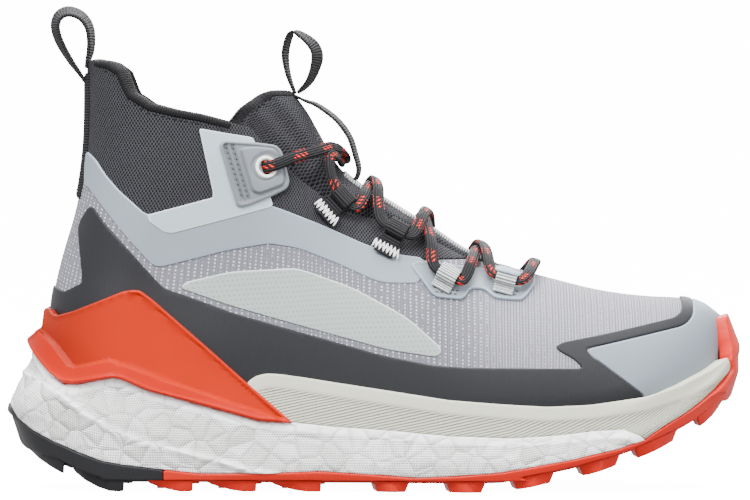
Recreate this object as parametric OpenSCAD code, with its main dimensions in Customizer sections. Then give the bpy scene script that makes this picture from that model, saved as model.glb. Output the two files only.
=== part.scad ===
// Mid-height hiking boot for the right foot.
// +X points to the toe, -Y to the outer (lateral) side, +Z up. The ground is Z = 0.

/* [Overall] */
// Length from the heel flare to the toe bumper
boot_length = 307; // [290:1:325]

/* [Upper layers] */
// Thickness of the outer fabric
fabric_t = 1.0; // [0.8:0.1:1.0]
// Thickness of the welded film overlays
film_t = 0.6; // [0.4:0.1:0.6]
// Thickness of the stiffeners between fabric and lining
stiff_t = 1.6; // [1.2:0.1:1.6]
// Thickness of the lining
lining_t = 0.9; // [0.6:0.1:0.9]
// Thickness of the tongue padding
tongue_t = 5; // [3:0.5:6]
// Thickness of the collar foam
collar_t = 5; // [3:0.5:5.5]

/* [Sole] */
// Thickness of the rubber under the foam
plate_t = 2.6; // [2:0.2:3]
// Depth of the tread
tread_t = 4.2; // [3:0.2:4.6]
// Thickness of the insole
insole_t = 4.5; // [3:0.5:5]

/* [Lacing] */
// Width of the lace
lace_w = 5; // [4.4:0.2:5.4]
// Thickness of the lace
lace_t = 2.4; // [2:0.1:2.6]
// Width of a webbing lace loop, measured along the lace
loop_w = 8.6; // [8:0.2:9]
// Thickness of the webbing
webbing_t = 1.2; // [0.8:0.1:1.2]
// Radius of the hole in the ankle eyelet
eyelet_r = 3.6; // [3.4:0.1:4]
// Width of the pull-loop webbing
pull_w = 10; // [7:0.5:12]

/* [Hidden] */
SIDES = ["lateral", "medial"];

CENTRE = [-0.55, -0.05, 0];
K = boot_length / 307;        // everything is drawn at 307 mm and scaled
GAP = 0.12;                   // air between layers that lie on each other
FILM1 = GAP + film_t;         // top of the first film layer
FILM2 = FILM1 + GAP + film_t; // top of a film that lies on another
STIFF = -fabric_t - GAP;      // top of the stiffeners
LINING = STIFF - stiff_t - GAP;
INSIDE = LINING - lining_t;
NU = 32;                      // stations along the upper
NW = 8;                       // steps from the ridge down to the sole, on each side

DARK = [0.25, 0.25, 0.27];
FABRIC = [0.68, 0.68, 0.70];
MESH = [0.36, 0.36, 0.38];
FILM = [0.70, 0.73, 0.75];
PALE = [0.78, 0.81, 0.82];
ORANGE = [0.90, 0.33, 0.20];
FOAM = [0.92, 0.93, 0.92];
RIM = [0.80, 0.81, 0.79];

// ---- curves: each table is [place, value], joined smoothly ----
function row(t, x, i = 0) = (i >= len(t) - 2 || x < t[i + 1][0]) ? i : row(t, x, i + 1);
function rise(a, b) = (b[1] - a[1]) / (b[0] - a[0]);
function slope(t, i) = rise(t[max(0, i - 1)], t[min(len(t) - 1, i + 1)]);
function curve(t, at) =
    let (x = min(max(at, t[0][0]), t[len(t) - 1][0]), i = row(t, x), h = t[i + 1][0] - t[i][0],
         q = (x - t[i][0]) / h, q2 = q * q, q3 = q2 * q)
    t[i][1] * (2 * q3 - 3 * q2 + 1) + t[i + 1][1] * (3 * q2 - 2 * q3)
        + h * (slope(t, i) * (q3 - 2 * q2 + q) + slope(t, i + 1) * (q3 - q2));

X_HEEL = -136.3; // back of the upper at its widest point
X_TOE = 146.5;   // front of the upper
X_SHEAR = -20;   // in front of this the stations are upright

// Back line of the heel, [height, x]
HEEL_LINE = [[30, -128], [45, -134], [60, -136.3], [77, -136.3], [92, -133.4], [103, -130.4],
             [113, -127.4], [122, -125.2], [131, -123.5], [145, -121.9], [160, -121.4],
             [185, -121.2], [222, -119]];
// Where the upper meets the sole unit, inside it
FLOOR = [[-136.3, 37], [-120, 34], [-100, 32.5], [-60, 31], [-20, 28.5], [20, 25.5], [50, 24],
         [80, 25], [105, 29.5], [125, 36], [138, 42], [146.5, 47]];
// Ridge of the upper: closed over the shaft, then down the instep to the toe
RIDGE = [[-136.3, 222], [-100, 214], [-80, 203], [-60, 190], [-45, 175.5], [-33, 163.5],
         [-23, 148.5], [-15, 135.5], [-5, 127], [6.5, 120.5], [14.5, 115.5], [25, 109],
         [38, 100.5], [50, 95.5], [63, 91.5], [76, 88], [91, 84.2], [104, 81.9], [117, 80.6],
         [126, 80.2], [133, 79.4], [139.3, 77.2], [143.8, 74], [146.5, 71.8]];
// Half widths of the upper, outer and inner side
HALF_LATERAL = [[-136.3, 37], [-110, 37.5], [-75, 38], [-40, 38.5], [-10, 40.5], [20, 45],
                [45, 50], [65, 52.5], [85, 53], [105, 51.5], [125, 48], [146.5, 43]];
HALF_MEDIAL = [[-136.3, 37], [-110, 37], [-75, 36.5], [-40, 34.5], [-10, 36], [20, 42.5],
               [45, 48.5], [65, 51.5], [85, 52], [105, 50.5], [125, 47.5], [146.5, 43]];
// How square the cross-section is
SQUARE = [[-136.3, 10], [-80, 10], [-60, 5.5], [-45, 3.4], [-30, 2.5], [0, 2.5], [40, 2.6],
          [80, 2.8], [146.5, 2.6]];
// Width of the shaft against its width at the heel, [height, share]
SHAFT = [[30, 1], [60, 1], [90, 0.93], [115, 0.94], [135, 0.95], [160, 0.93], [222, 0.93]];
MIDDLE = [[-136.3, 0], [-60, -0.5], [0, -1], [60, 0], [110, 3], [146.5, 7]];
HEEL_ROUND = [[30, 34], [80, 34], [150, 42], [222, 42]];
TOE_ROUND = 58;

function clamp01(q) = min(1, max(0, q));
function cap(q, e = 2) = q >= 1 ? 1 : sqrt(max(0, 1 - pow(1 - q, e)));
function fade(x0) = clamp01((X_SHEAR - x0) / (X_SHEAR - X_HEEL));
function lean(z) = curve(HEEL_LINE, z) - X_HEEL;

// Point of the upper's outer surface: x0 is the station, w runs from -1 (outer edge at the
// sole) over 0 (ridge) to 1 (inner edge at the sole).
function upper_at(x0, w) =
    let (n = 1 - w * w, zf = curve(FLOOR, x0), z = zf + n * (curve(RIDGE, x0) - zf),
         half = curve(w < 0 ? HALF_LATERAL : HALF_MEDIAL, x0),
         arch = sqrt(max(0, 1 - pow(n, curve(SQUARE, x0)))),
         ends = cap((x0 - X_HEEL) / curve(HEEL_ROUND, z)) * cap((X_TOE - x0) / TOE_ROUND, 2.3),
         tuck = 1 - 0.1 * pow(clamp01(1 - (z - zf) / 16), 2),
         shaft = 1 + (curve(SHAFT, z) - 1) * clamp01((-x0 - 10) / 60))
    [x0 + lean(z) * fade(x0), curve(MIDDLE, x0) + sign(w) * half * arch * ends * tuck * shaft, z];

function station(i) = X_HEEL + (X_TOE - X_HEEL) * (1 - cos(180 * i / NU)) / 2;
BASE = [for (i = [0:NU]) [for (k = [-NW:NW]) upper_at(station(i), k / NW)]];
function across(i, k) =
    i == 0 ? BASE[1][k] - BASE[1][2 * NW - k] :
    i == NU ? BASE[NU - 1][2 * NW - k] - BASE[NU - 1][k] : BASE[i + 1][k] - BASE[i - 1][k];
function up(i, k) = BASE[i][min(k + 1, 2 * NW)] - BASE[i][max(k - 1, 0)];
function unit(v) = v / norm(v);
function end_normal(i) = unit([i == 0 ? -1 : 1, 0, 1]);
NORMAL = [for (i = [0:NU]) [for (k = [0:2 * NW])
    ((i == 0 || i == NU) && k == NW) ? end_normal(i) : unit(cross(across(i, k), up(i, k)))]];
function skin(o) = [for (i = [0:NU]) for (k = [0:2 * NW]) BASE[i][k] + o * NORMAL[i][k]];

function cell(i, k, n) = i * (2 * NW + 1) + k + n;
function quad(a, b, c, d) = [[a, b, c], [a, c, d]];
COUNT = (NU + 1) * (2 * NW + 1);

// A shell round the whole upper, between two offsets from its outer surface
module layer(inner, outer) {
    faces = [for (i = [0:NU - 1]) each concat(
        [for (k = [0:2 * NW - 1]) each concat(
            quad(cell(i, k, 0), cell(i, k + 1, 0), cell(i + 1, k + 1, 0), cell(i + 1, k, 0)),
            quad(cell(i, k, COUNT), cell(i + 1, k, COUNT), cell(i + 1, k + 1, COUNT),
                 cell(i, k + 1, COUNT)))],
        quad(cell(i, 0, 0), cell(i + 1, 0, 0), cell(i + 1, 0, COUNT), cell(i, 0, COUNT)),
        quad(cell(i, 2 * NW, 0), cell(i, 2 * NW, COUNT), cell(i + 1, 2 * NW, COUNT),
             cell(i + 1, 2 * NW, 0)))];
    polyhedron(concat(skin(outer), skin(inner)), faces, convexity = 8);
}

// The whole inside of the upper's surface, moved by an offset and carried down below it
module body(o, down = 12) {
    pts = skin(o);
    edge = [for (i = [0:NU]) pts[cell(i, 0, 0)], for (i = [NU:-1:0]) pts[cell(i, 2 * NW, 0)]];
    low = [for (p = edge) p - [0, 0, down]];
    n = len(edge);
    faces = concat(
        [for (i = [0:NU - 1]) for (k = [0:2 * NW - 1]) each
            quad(cell(i, k, 0), cell(i, k + 1, 0), cell(i + 1, k + 1, 0), cell(i + 1, k, 0))],
        [for (i = [0:NU - 1]) each quad(cell(i, 0, 0), cell(i + 1, 0, 0), COUNT + i + 1, COUNT + i)],
        [for (i = [0:NU - 1]) each quad(cell(i + 1, 2 * NW, 0), cell(i, 2 * NW, 0),
            COUNT + n - 1 - i, COUNT + n - 2 - i)],
        [for (i = [0:NU - 1]) each quad(COUNT + i, COUNT + i + 1, COUNT + n - 2 - i,
            COUNT + n - 1 - i)]);
    polyhedron(concat(pts, low), faces, convexity = 8);
}

// ---- outlines on the side of the boot, as [x, z] ----
COLLAR_TOP = [[-140, 182], [-119.5, 180.5], [-112, 179.5], [-107, 176.5], [-103, 167],
    [-100, 165.5], [-94.5, 162], [-84, 159.4], [-73, 157.4], [-60, 154]];
MESH_LOW = [[-140, 146], [-122, 142.6], [-117, 138.4], [-112.5, 131.7], [-107.3, 125.8],
    [-94.7, 114.6], [-67, 122.6], [-42, 118.6], [-31, 114.3], [-22, 110.7], [-5, 103],
    [6.5, 98.7], [21, 96.8], [60, 97]];
BAND_LOW = [[-122, 127.5], [-120, 126.8], [-112.6, 117.4], [-103, 105.6], [-93.5, 95.2],
    [-91, 93.8], [-88, 94], [-60.7, 100.8], [-44, 103.6], [-31.3, 101.4], [-16, 95.3],
    [-0.6, 88.4], [4, 87], [19, 86.8]];
PANEL = [[-73.3, 151.6], [-66, 150], [-63, 141], [-57, 119.6], [-54, 117.4], [-44, 119.6],
    [-42, 119.2], [-60.7, 113.9], [-84.6, 107.7], [-88, 108.3], [-94.5, 114.3], [-67, 122.8]];
QUARTER = [[-124.4, 111], [-119, 120.3], [-112.6, 111.5], [-104, 102.3], [-95, 92.2],
    [-91, 88], [-88, 84.8], [-78, 81.5], [-59, 74.5], [-34, 67.4], [-19, 63.2], [5, 56.5],
    [25, 52.7], [40, 51.9], [86, 51.6], [86, 52.5], [83, 55.4], [76.5, 59], [75.4, 60.6],
    [78, 62.3], [98, 66], [126, 72], [129, 74.4], [129.6, 77], [128.3, 90], [133.8, 90],
    [134.2, 76.7], [134, 73.3], [131.7, 70.1], [128.6, 68.5], [88.7, 59.9], [88.4, 59.2],
    [90, 56.7], [94, 54.1], [113, 39.9], [113, 20], [-150, 20], [-150, 88], [-135, 85.4],
    [-130.4, 82.5], [-124.3, 85.9], [-122, 87], [-124.2, 106.7]];
CAP = [[113.2, 20], [113.2, 40], [94.2, 54.3], [90.2, 56.9], [88.8, 59.5], [128.6, 68.2],
    [131.9, 69.9], [134.3, 73.2], [134.5, 76.7], [134.1, 90], [160, 90], [160, 20]];
SUPPORT = [[-81, 84.8], [-79.5, 87.2], [-60, 91.8], [-34, 93.2], [-29, 92.2], [-8, 84.6],
    [14, 72.5], [27.5, 60.5], [28, 57.8], [25.5, 56.4], [6, 59.2], [-34, 70.2], [-60, 77.6]];
WING = [[15, 93.9], [17, 95.2], [21.6, 95.2], [40.7, 92.4], [67.4, 89.2], [67.2, 85.5],
    [63.4, 80.9], [61.3, 79.2], [50.2, 80], [45.9, 84], [39.9, 84.2], [38, 80.9],
    [35.9, 79.7], [24.9, 80.9]];
PATCH = [[-63.6, 146.5], [-51, 145.4], [-41.8, 144.1], [-39.3, 141.3], [-35.9, 128.9],
    [-36.9, 126], [-43.7, 122.7], [-53.8, 118.8], [-56.7, 118.6], [-57.9, 119.8],
    [-64.9, 143.9]];
TONGUE = [[-66, 140], [-61, 152.5], [-52, 163], [-44, 169.3], [-40, 170], [-34, 170],
    [60, 125], [58, 84], [20, 84], [-20, 100]];
// Half width of the throat, seen from above
THROAT = [[-66, 36], [-60, 33], [-40, 28.5], [-30, 27], [-15, 23.5], [0, 20.5], [20, 18],
    [40, 14.5], [50, 10.5], [55, 5]];
// Side view of the sole unit
FOAM_LOW = [[-153, 34.6], [-145, 25], [-133, 16.2], [-115, 11.5], [-95, 10.3], [-73, 7],
    [-49, 7.6], [-22, 8.5], [0, 7.2], [15, 6], [35, 6.8], [53, 8.5], [83, 14], [102, 18.3],
    [113, 22]];
RIM_LOW = [[-33.6, 29], [-17, 27.3], [7, 25.8], [31, 23.7], [57, 23], [76, 24.2], [91, 26],
    [104, 26.6], [110, 24], [113, 22]];
RIM_TOP = [[-54, 46], [-49.4, 48.4], [-45, 49.4], [-37, 49], [-17, 45.8], [7, 42.2],
    [31, 38.6], [53, 37], [72, 36], [90, 36.8], [113, 40], [127, 44.3], [141, 50.6],
    [148.5, 55.2]];
CLIP_TOP = [[-144, 62.8], [-141, 65.4], [-139, 68], [-138.4, 75.2], [-136.8, 76.4],
    [-135, 73.8], [-133, 73.2], [-126, 75.2], [-105, 83.6], [-101, 84.2], [-97.7, 84],
    [-93, 80], [-79.6, 67.8], [-66, 56.5], [-61.5, 50.6], [-48, 38], [-34, 28.9]];
CLIP_LOW = [[-34, 28.7], [-48, 29.6], [-68, 35], [-94.4, 42.3], [-105.8, 47.2], [-109, 47.7],
    [-115.7, 46.4], [-124.3, 44.7], [-130, 44.8], [-134.4, 48.5], [-137.8, 52.7],
    [-141.6, 57.7], [-143.8, 61.3]];
BUMPER = [[113.1, 22.2], [123, 30.5], [134, 33.4], [140.5, 38], [148.5, 46.8], [150.3, 49.3],
    [150.4, 51.8], [149.5, 54], [148.2, 57], [147.2, 60], [146.7, 64], [147.2, 68.3],
    [147.9, 70.8], [147, 72.2], [170, 72.2], [170, -10], [113.1, -10]];

function flip(t) = [for (i = [len(t) - 1:-1:0]) t[i]];

// Everything within an outline seen from the side, on one side or on both
module side(outline, s = "both") {
    y = s == "medial" ? 0 : -80;
    h = s == "both" ? 160 : 80;
    translate([0, y + h, 0]) rotate([90, 0, 0]) linear_extrude(h) polygon(outline);
}
module above(line, top = 300) {
    n = len(line) - 1;
    side(concat([[line[0][0] - 60, line[0][1]]], line, [[line[n][0] + 60, line[n][1]],
        [line[n][0] + 60, top], [line[0][0] - 60, top]]));
}
module throat(inset = 0, front = 0) {
    t = [for (p = THROAT) [p[0], p[1] - inset]];
    intersection() {
        translate([0, 0, 60]) linear_extrude(200)
            polygon(concat(t, [[57 - front, 0]], [for (p = flip(t)) [p[0], -p[1]]]));
        side([[-66 + inset, 139], [-66 + inset, 260], [70, 260], [70, 84], [40, 84], [-20, 100],
            [-50, 125]]);
    }
}
// Puts the boot in its frame, with the middle of its box over the origin
module fit() { scale(K) translate(CENTRE) children(); }
// Takes the shape as one mesh
module trim() { fit() resize([0, 0, 0]) children(); }
module trunk(inner, outer) {
    difference() {
        layer(inner, outer);
        above(COLLAR_TOP);
        throat();
        for (w = [-EYELET[1], EYELET[1]]) on_upper(EYELET[0], w)
            translate([0, 0, -10]) cylinder(r = eyelet_r + 0.9, h = 20, $fn = 20);
    }
}
module film(inner, outer, outline, s = "both") {
    trim() intersection() {
        trunk(inner, outer);
        side(outline, s);
    }
}

// ---- sole unit: rings from the tread up, each [height line, back, front, extra half width] ----
SOLE_LATERAL = [[-153, 42], [-110, 43.5], [-60, 43], [-10, 45], [30, 52], [65, 57], [90, 57],
    [115, 54], [135, 49], [154, 43]];
SOLE_MEDIAL = [[-153, 42], [-110, 43], [-60, 38.5], [-20, 37.5], [10, 42], [40, 51], [65, 55.5],
    [90, 55.5], [115, 53.5], [135, 49.5], [154, 44]];
TREAD = [[-153, 32], [-150, 26], [-147, 18], [-140, 12.8], [-131, 8], [-120, 3], [-112, 0.8],
    [-104, 0], [50, 0], [62, 2], [88, 7.5], [111.5, 15], [137, 27], [149.7, 39], [154, 50]];
SHELF = [[-153, 33.5], [-145, 23], [-131, 12.5], [-112, 5], [-100, 4.4], [50, 4.4], [88, 11],
    [111.5, 18.5], [137, 30], [149, 44], [154, 53]];
BULGE = [[-153, 35], [-133, 38], [-110, 29], [-70, 16], [-49, 12], [0, 12], [50, 12.5],
    [88, 17], [112, 25], [137, 39], [154, 57]];
WAIST = [[-153, 62], [-136, 50], [-120, 42], [-60, 34], [-36, 29], [7, 26], [57, 23.5],
    [91, 26], [112, 30], [137, 45], [154, 60]];
LIP = [[-153, 68], [-130, 66], [-100, 52], [-60, 40], [0, 36], [60, 30], [100, 34], [137, 52],
    [154, 66]];
BRIM = [[-153, 80], [-137, 79], [-101, 86], [-60, 56], [-45, 50], [7, 44], [53, 38], [90, 38],
    [127, 46], [145, 74], [154, 76]];
RINGS = [[TREAD, -149, 150, -3.5], [SHELF, -152, 152.5, -0.6], [BULGE, -152.9, 153.9, 1.6],
    [WAIST, -145, 154, -1.6], [LIP, -143, 152.5, -2.2], [BRIM, -137.8, 149, -3.4]];
NS = 26; // stations along the sole

function rim_point(r, i, s) =
    let (x = r[1] + (r[2] - r[1]) * (1 - cos(180 * i / NS)) / 2,
         half = curve(s < 0 ? SOLE_LATERAL : SOLE_MEDIAL, x) + r[3],
         ends = cap((x - r[1]) / 40) * cap((r[2] - x) / 60, 2.3))
    [x, curve(MIDDLE, x) + s * half * ends, curve(r[0], x)];
function ring(r) = concat([for (i = [0:NS]) rim_point(r, i, -1)],
    [for (i = [NS - 1:-1:1]) rim_point(r, i, 1)]);
module sole_block() {
    n = 2 * NS;
    m = len(RINGS);
    pts = [for (r = RINGS) each ring(r)];
    walls = [for (j = [0:m - 2]) for (i = [0:n - 1]) let (k = (i + 1) % n) each
        quad(j * n + i, (j + 1) * n + i, (j + 1) * n + k, j * n + k)];
    caps = [for (j = [0, (m - 1) * n]) for (i = [0:NS - 1]) let (a = (n - i) % n, b = n - i - 1) each
        j == 0 ? quad(j + i, j + i + 1, j + b, j + a) : quad(j + i, j + a, j + b, j + i + 1)];
    faces = [for (f = concat(walls, caps)) if (f[0] != f[1] && f[1] != f[2] && f[2] != f[0]) f];
    polyhedron(pts, faces, convexity = 8);
}
module sole_part(outline) {
    trim() difference() {
        intersection() {
            sole_block();
            side(outline);
        }
        body(FILM1 + 0.25, 3.2);
    }
}

// Lugs seen from above: the ones along the edge as [back, front], and pairs of angled ones
// between them
EDGE_LUGS = [[-146, -131], [-126, -105], [-95, -75.5], [-70, -49], [-43.5, -22], [-1, 15],
    [29.5, 47], [53, 69.5], [78, 95], [101, 118], [124, 141]];
EDGE_TAPER = 3;     // how much an edge lug narrows inwards
EDGE_REACH = 66;    // where the edge lugs start, outside the sole
LUG_GAP = 2.2;      // half the gap between the two lugs of a pair
module edge_lug(l, s) {
    depth = l[0] < -130 ? 48 : 38;
    taper = EDGE_TAPER * s;
    translate([0, s < 0 ? -EDGE_REACH : EDGE_REACH - depth])
        polygon([[l[0], 0], [l[1], 0], [l[1] - taper, depth],
            [l[0] + taper + EDGE_TAPER, depth]]);
}
module centre_lug(s) {
    rotate(s < 0 ? 180 : 0) translate([0, LUG_GAP])
        polygon([[-9 * s, 0], [2 * s, 0], [-4 * s, 16], [-13 * s, 16]]);
}
module lugs() {
    for (l = EDGE_LUGS) for (s = [-1, 1]) edge_lug(l, s);
    for (l = EDGE_LUGS) if (l[0] > -130)
        translate([(l[0] + l[1]) / 2 + 9, l[0] > 50 ? 3 : 0]) {
            centre_lug(-1);
            centre_lug(1);
        }
}
function raised(t, d) = [for (p = t) [p[0], p[1] + d]];
// Rubber within an outline and between two places, with the tread cut into it
module rubber(outline, x0, x1) {
    trim() difference() {
        intersection() {
            sole_block();
            side(outline);
            translate([x0, -80, 0]) cube([x1 - x0, 160, 90]);
        }
        body(FILM1 + 0.25, 3.2);
        difference() {
            side(concat([[-160, -10], [-160, 36]], raised(TREAD, tread_t), [[160, 60], [160, -10]]));
            translate([0, 0, -12]) linear_extrude(90) lugs();
        }
    }
}

// ---- lacing ----
// Place on the upper as [station, w], and what stands on it: +X along the boot, +Z outwards
EYELET = [-49.6, 0.55];
LOOPS = [[-15.3, 0.38], [8.2, 0.375], [29.9, 0.47], [54.4, 0.36]];
function spot(x0, w) =
    let (dx = upper_at(x0 + 0.5, w) - upper_at(x0 - 0.5, w),
         dw = upper_at(x0, w + 0.02) - upper_at(x0, w - 0.02), n = unit(cross(dx, dw)), t = unit(dx))
    [upper_at(x0, w), t, cross(n, t), n];
module on_upper(x0, w) {
    f = spot(x0, w);
    multmatrix([for (r = [0:2]) [f[1][r], f[2][r], f[3][r], f[0][r]]]) children();
}

LACE_LOW = 1.6 + lace_t / 2;           // height of the lace over the tongue
LACE_HIGH = LACE_LOW + lace_t + 0.3;   // where it crosses the other strand
LACE_LOOP = FILM2 + 0.3 + webbing_t + 1.2 + lace_t / 2;
// One strand from its tip beside the insole, back and up to the eyelet, then over the tongue to the
// middle of the vamp, as [station, w, height]
function strand(s, over) = let (h = over ? LACE_HIGH : LACE_LOW, e = EYELET[1], o = LACE_LOOP) [
    [105, s * 0.9225, -8], [85, s * 0.931, -8], [65, s * 0.939, -8], [45, s * 0.9455, -8],
    [25, s * 0.952, -8], [5, s * 0.959, -8], [-15, s * 0.965, -8], [-36, s * 0.969, -8],
    [-46, s * 0.966, -8], [-50.5, s * 0.95, -8], [-51.5, s * 0.92, -8], [-51.5, s * 0.86, -7.6],
    [-51.2, s * 0.78, -6.8], [-51, s * 0.71, -5.8], [-50.6, s * 0.63, -5.8],
    [-49.7, s * (e + 0.006), -5.9], [-49.6, s * e, -3], [-49.6, s * e, 0], [-49.6, s * e, 3.2],
    [-46, s * 0.53, 5.2], [-39.2, s * 0.482, 5.6], [-32.9, s * 0.428, 5.8],
    [-27.2, s * 0.344, LACE_HIGH], [-22, s * 0.22, h], [-18.2, s * 0.09, h], [-16.4, 0, h],
    [-16.6, -s * 0.13, h], [-20, -s * 0.23, o], [-22.7, -s * 0.3, o], [-21.1, -s * 0.375, o],
    [-15.3, -s * 0.38, o], [-9.5, -s * 0.375, o], [-6.6, -s * 0.3, o], [-4.4, -s * 0.16, h],
    [-2.4, 0, h], [-0.8, s * 0.15, h], [0.2, s * 0.29, o], [2.4, s * 0.37, o], [8.2, s * 0.375, o],
    [14, s * 0.37, o], [16.4, s * 0.29, o], [18.2, s * 0.14, h], [19.6, 0, h], [21, -s * 0.18, h],
    [22.4, -s * 0.37, o], [24.1, -s * 0.465, o], [29.9, -s * 0.47, o], [35.7, -s * 0.465, o],
    [38.8, -s * 0.35, o], [41.2, -s * 0.17, h], [43.2, 0, h], [45.2, s * 0.15, h],
    [46.8, s * 0.29, o], [48.6, s * 0.355, o], [54.4, s * 0.36, o], [60.2, s * 0.356, o],
    [64.4, s * 0.23, o], [66.6, 0, o]];
STRANDS = concat(strand(-1, true), [for (i = [len(strand(1, false)) - 2:-1:0]) strand(1, false)[i]]);
LACE_STEP = 0.5;
function lace_spot(u) =
    let (q = [for (j = [0:2]) curve_at(u, j)], f = spot(q[0], q[1]))
    [f[0] + q[2] * f[3], f[3]];
function curve_at(u, j) =
    let (n = len(STRANDS), i = min(floor(u), n - 2), a = STRANDS[i][j], b = STRANDS[i + 1][j])
    blend(a, b, (b - STRANDS[max(0, i - 1)][j]) / 2, (STRANDS[min(n - 1, i + 2)][j] - a) / 2, u - i);
// An oval band along the lace, between two places on it
module lace_run(u0, u1, w, t, sides = 6) {
    n = ceil((u1 - u0) / LACE_STEP);
    s = [for (i = [0:n]) lace_spot(u0 + (u1 - u0) * i / n)];
    pts = [for (i = [0:n])
        let (d = unit(s[min(i + 1, n)][0] - s[max(i - 1, 0)][0]), b = unit(cross(s[i][1], d)),
             c = cross(d, b))
        for (a = [0:sides - 1]) s[i][0] + b * w / 2 * cos(360 * (a + 0.5) / sides)
            + c * t / 2 * sin(360 * (a + 0.5) / sides)];
    walls = [for (i = [0:n - 1]) for (a = [0:sides - 1]) let (k = (a + 1) % sides) each
        quad(i * sides + a, i * sides + k, (i + 1) * sides + k, (i + 1) * sides + a)];
    ends = [[for (a = [sides - 1:-1:0]) a], [for (a = [0:sides - 1]) n * sides + a]];
    polyhedron(pts, concat([for (f = walls) flip(f)], [for (f = ends) flip(f)]), convexity = 10);
}
TIP = 1; // length of the lace's ends under their tips, in steps of the strand

// A loop of webbing round the lace, with its tail lying on the upper
module lace_loop(i, s) {
    l = LOOPS[i - 1];
    a = lace_w / 2 + 1;
    b = lace_t / 2 + 1.2;
    c = webbing_t;
    fit() on_upper(l[0], s * l[1]) rotate(s > 0 ? 180 : 0) translate([-loop_w / 2, 0, LACE_LOOP])
        rotate([90, 0, 90]) linear_extrude(loop_w) {
            difference() {
                oval(a + c, b + c);
                oval(a, b);
            }
            translate([-a - 9, -b - c]) square([a + 9, c]);
        }
}
module oval(a, b) {
    for (x = [b - a, a - b]) translate([x, 0]) circle(b, $fn = 24);
    square([2 * (a - b), 2 * b], center = true);
}
module bartacks() {
    color(PALE) fit() for (l = LOOPS) for (s = [-1, 1]) on_upper(l[0], s * l[1])
        rotate(s > 0 ? 180 : 0) translate([-loop_w / 2, -lace_w / 2 - 9, BAR])
            cube([loop_w, 3.5, 0.5]);
}
BAR = LACE_LOOP - lace_t / 2 - 1.2 + 0.02; // top of the loops' tails
module eyelet(s) {
    color(PALE) fit() on_upper(EYELET[0], s * EYELET[1]) rotate_extrude()
        polygon([[eyelet_r, -4.8], [eyelet_r + 0.7, -4.8], [eyelet_r + 0.7, PATCH_TOP + 0.4],
            [eyelet_r + 2.6, PATCH_TOP + 0.4], [eyelet_r + 2.6, PATCH_TOP + 0.9],
            [eyelet_r + 1.8, PATCH_TOP + 1.4], [eyelet_r + 0.6, PATCH_TOP + 1.4],
            [eyelet_r, PATCH_TOP + 0.8]]);
}
PATCH_TOP = FILM2 + 0.7;

// ---- tongue ----
// A band of webbing along a line seen from the side
module strap(pts, t, w) {
    n = len(pts) - 1;
    ahead = [for (i = [0:n]) unit(pts[min(i + 1, n)] - pts[max(i - 1, 0)])];
    out = [for (i = [0:n]) pts[i] + t / 2 * [-ahead[i][1], ahead[i][0]]];
    in = [for (i = [0:n]) pts[i] - t / 2 * [-ahead[i][1], ahead[i][0]]];
    fit() translate([0, w / 2, 0]) rotate([90, 0, 0]) linear_extrude(w)
        polygon(concat(out, flip(in)));
}
// Between two places a and b, arriving and leaving along ma and mb
function blend(a, b, ma, mb, q) = let (q2 = q * q, q3 = q2 * q)
    a * (2 * q3 - 3 * q2 + 1) + b * (3 * q2 - 2 * q3) + ma * (q3 - 2 * q2 + q) + mb * (q3 - q2);
// Points along a smooth line through a few places
function smooth(p, steps = 4) = let (n = len(p)) [for (i = [0:n - 2]) for (k = [0:steps - 1])
    blend(p[i], p[i + 1], (p[i + 1] - p[max(0, i - 1)]) / 2, (p[min(n - 1, i + 2)] - p[i]) / 2,
        k / steps), p[n - 1]];
TONGUE_TOP = INSIDE - 0.5;
TONGUE_EDGE = [[-62, 143], [-55, 152], [-47.5, 160], [-42.5, 164], [-34, 165.2], [-20, 165],
    [-20, 200], [-80, 200], [-80, 143]];
module tongue_body(extra = 0) {
    intersection() {
        union() {
            intersection() {
                layer(TONGUE_TOP - tongue_t - extra, TONGUE_TOP + extra);
                translate([-80, -21, 60]) cube([60, 40, 160]);
            }
            intersection() {
                layer(TONGUE_TOP - tongue_t - 3.6 - extra, TONGUE_TOP - 3.9 + extra);
                translate([-80, -31, 60]) cube([60, 60, 160]);
            }
            intersection() {
                layer(TONGUE_TOP - tongue_t, TONGUE_TOP);
                translate([-20.1, -26, 60]) cube([76, 52, 160]);
            }
            intersection() {
                layer(TONGUE_TOP - 0.6, -0.4 + extra);
                throat(2.2, 3);
                translate([-80, -21, 60]) cube([134, 40, 160]);
            }
        }
        side(TONGUE);
    }
}
module tongue_pad() {
    color(MESH) trim() difference() {
        tongue_body();
        side(TONGUE_EDGE);
    }
}
module tongue_edge() {
    color(FILM) trim() intersection() {
        tongue_body(0.4);
        side([for (q = TONGUE_EDGE) q + [-0.1, 0.1]]);
    }
}
module tongue_strip() {
    color(FILM) trim() intersection() {
        layer(-0.3, 0.7);
        translate([-13, -7, 60]) cube([58, 14, 160]);
    }
}
module tongue_keeper() {
    color(DARK) strap(smooth([[-31.5, 164.5], [-28.2, 162.9], [-24, 161.3], [-16.2, 155.6],
        [-10.6, 148.2], [-8, 140.5], [-6.6, 134.5], [-7.6, 130.6]]), 1.2, 13);
}
module tongue_pull_loop() {
    color(DARK) strap(smooth([[-33.6, 167.6], [-36.6, 175], [-37.6, 183.5], [-35.6, 191],
        [-32.6, 192], [-26, 187], [-24.2, 181], [-27.2, 172], [-30.6, 166.9]]), 1.6, pull_w);
}

// ---- heel loop ----
module heel_pull_loop() {
    color(DARK) strap(smooth([[-124.6, 174.6], [-129.6, 181.5], [-134, 189.5], [-135, 194.5],
        [-132.6, 200], [-130, 200.6], [-125.5, 198], [-118.2, 191], [-117.6, 187],
        [-120.4, 185.4]]), 2.4, pull_w + 4);
}
module heel_loop_tail() {
    color(DARK) strap(smooth([[-122.6, 172.6], [-122.9, 160], [-123.5, 145], [-125.6, 128],
        [-126.4, 124]]), 1.2, pull_w + 4);
}

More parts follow.
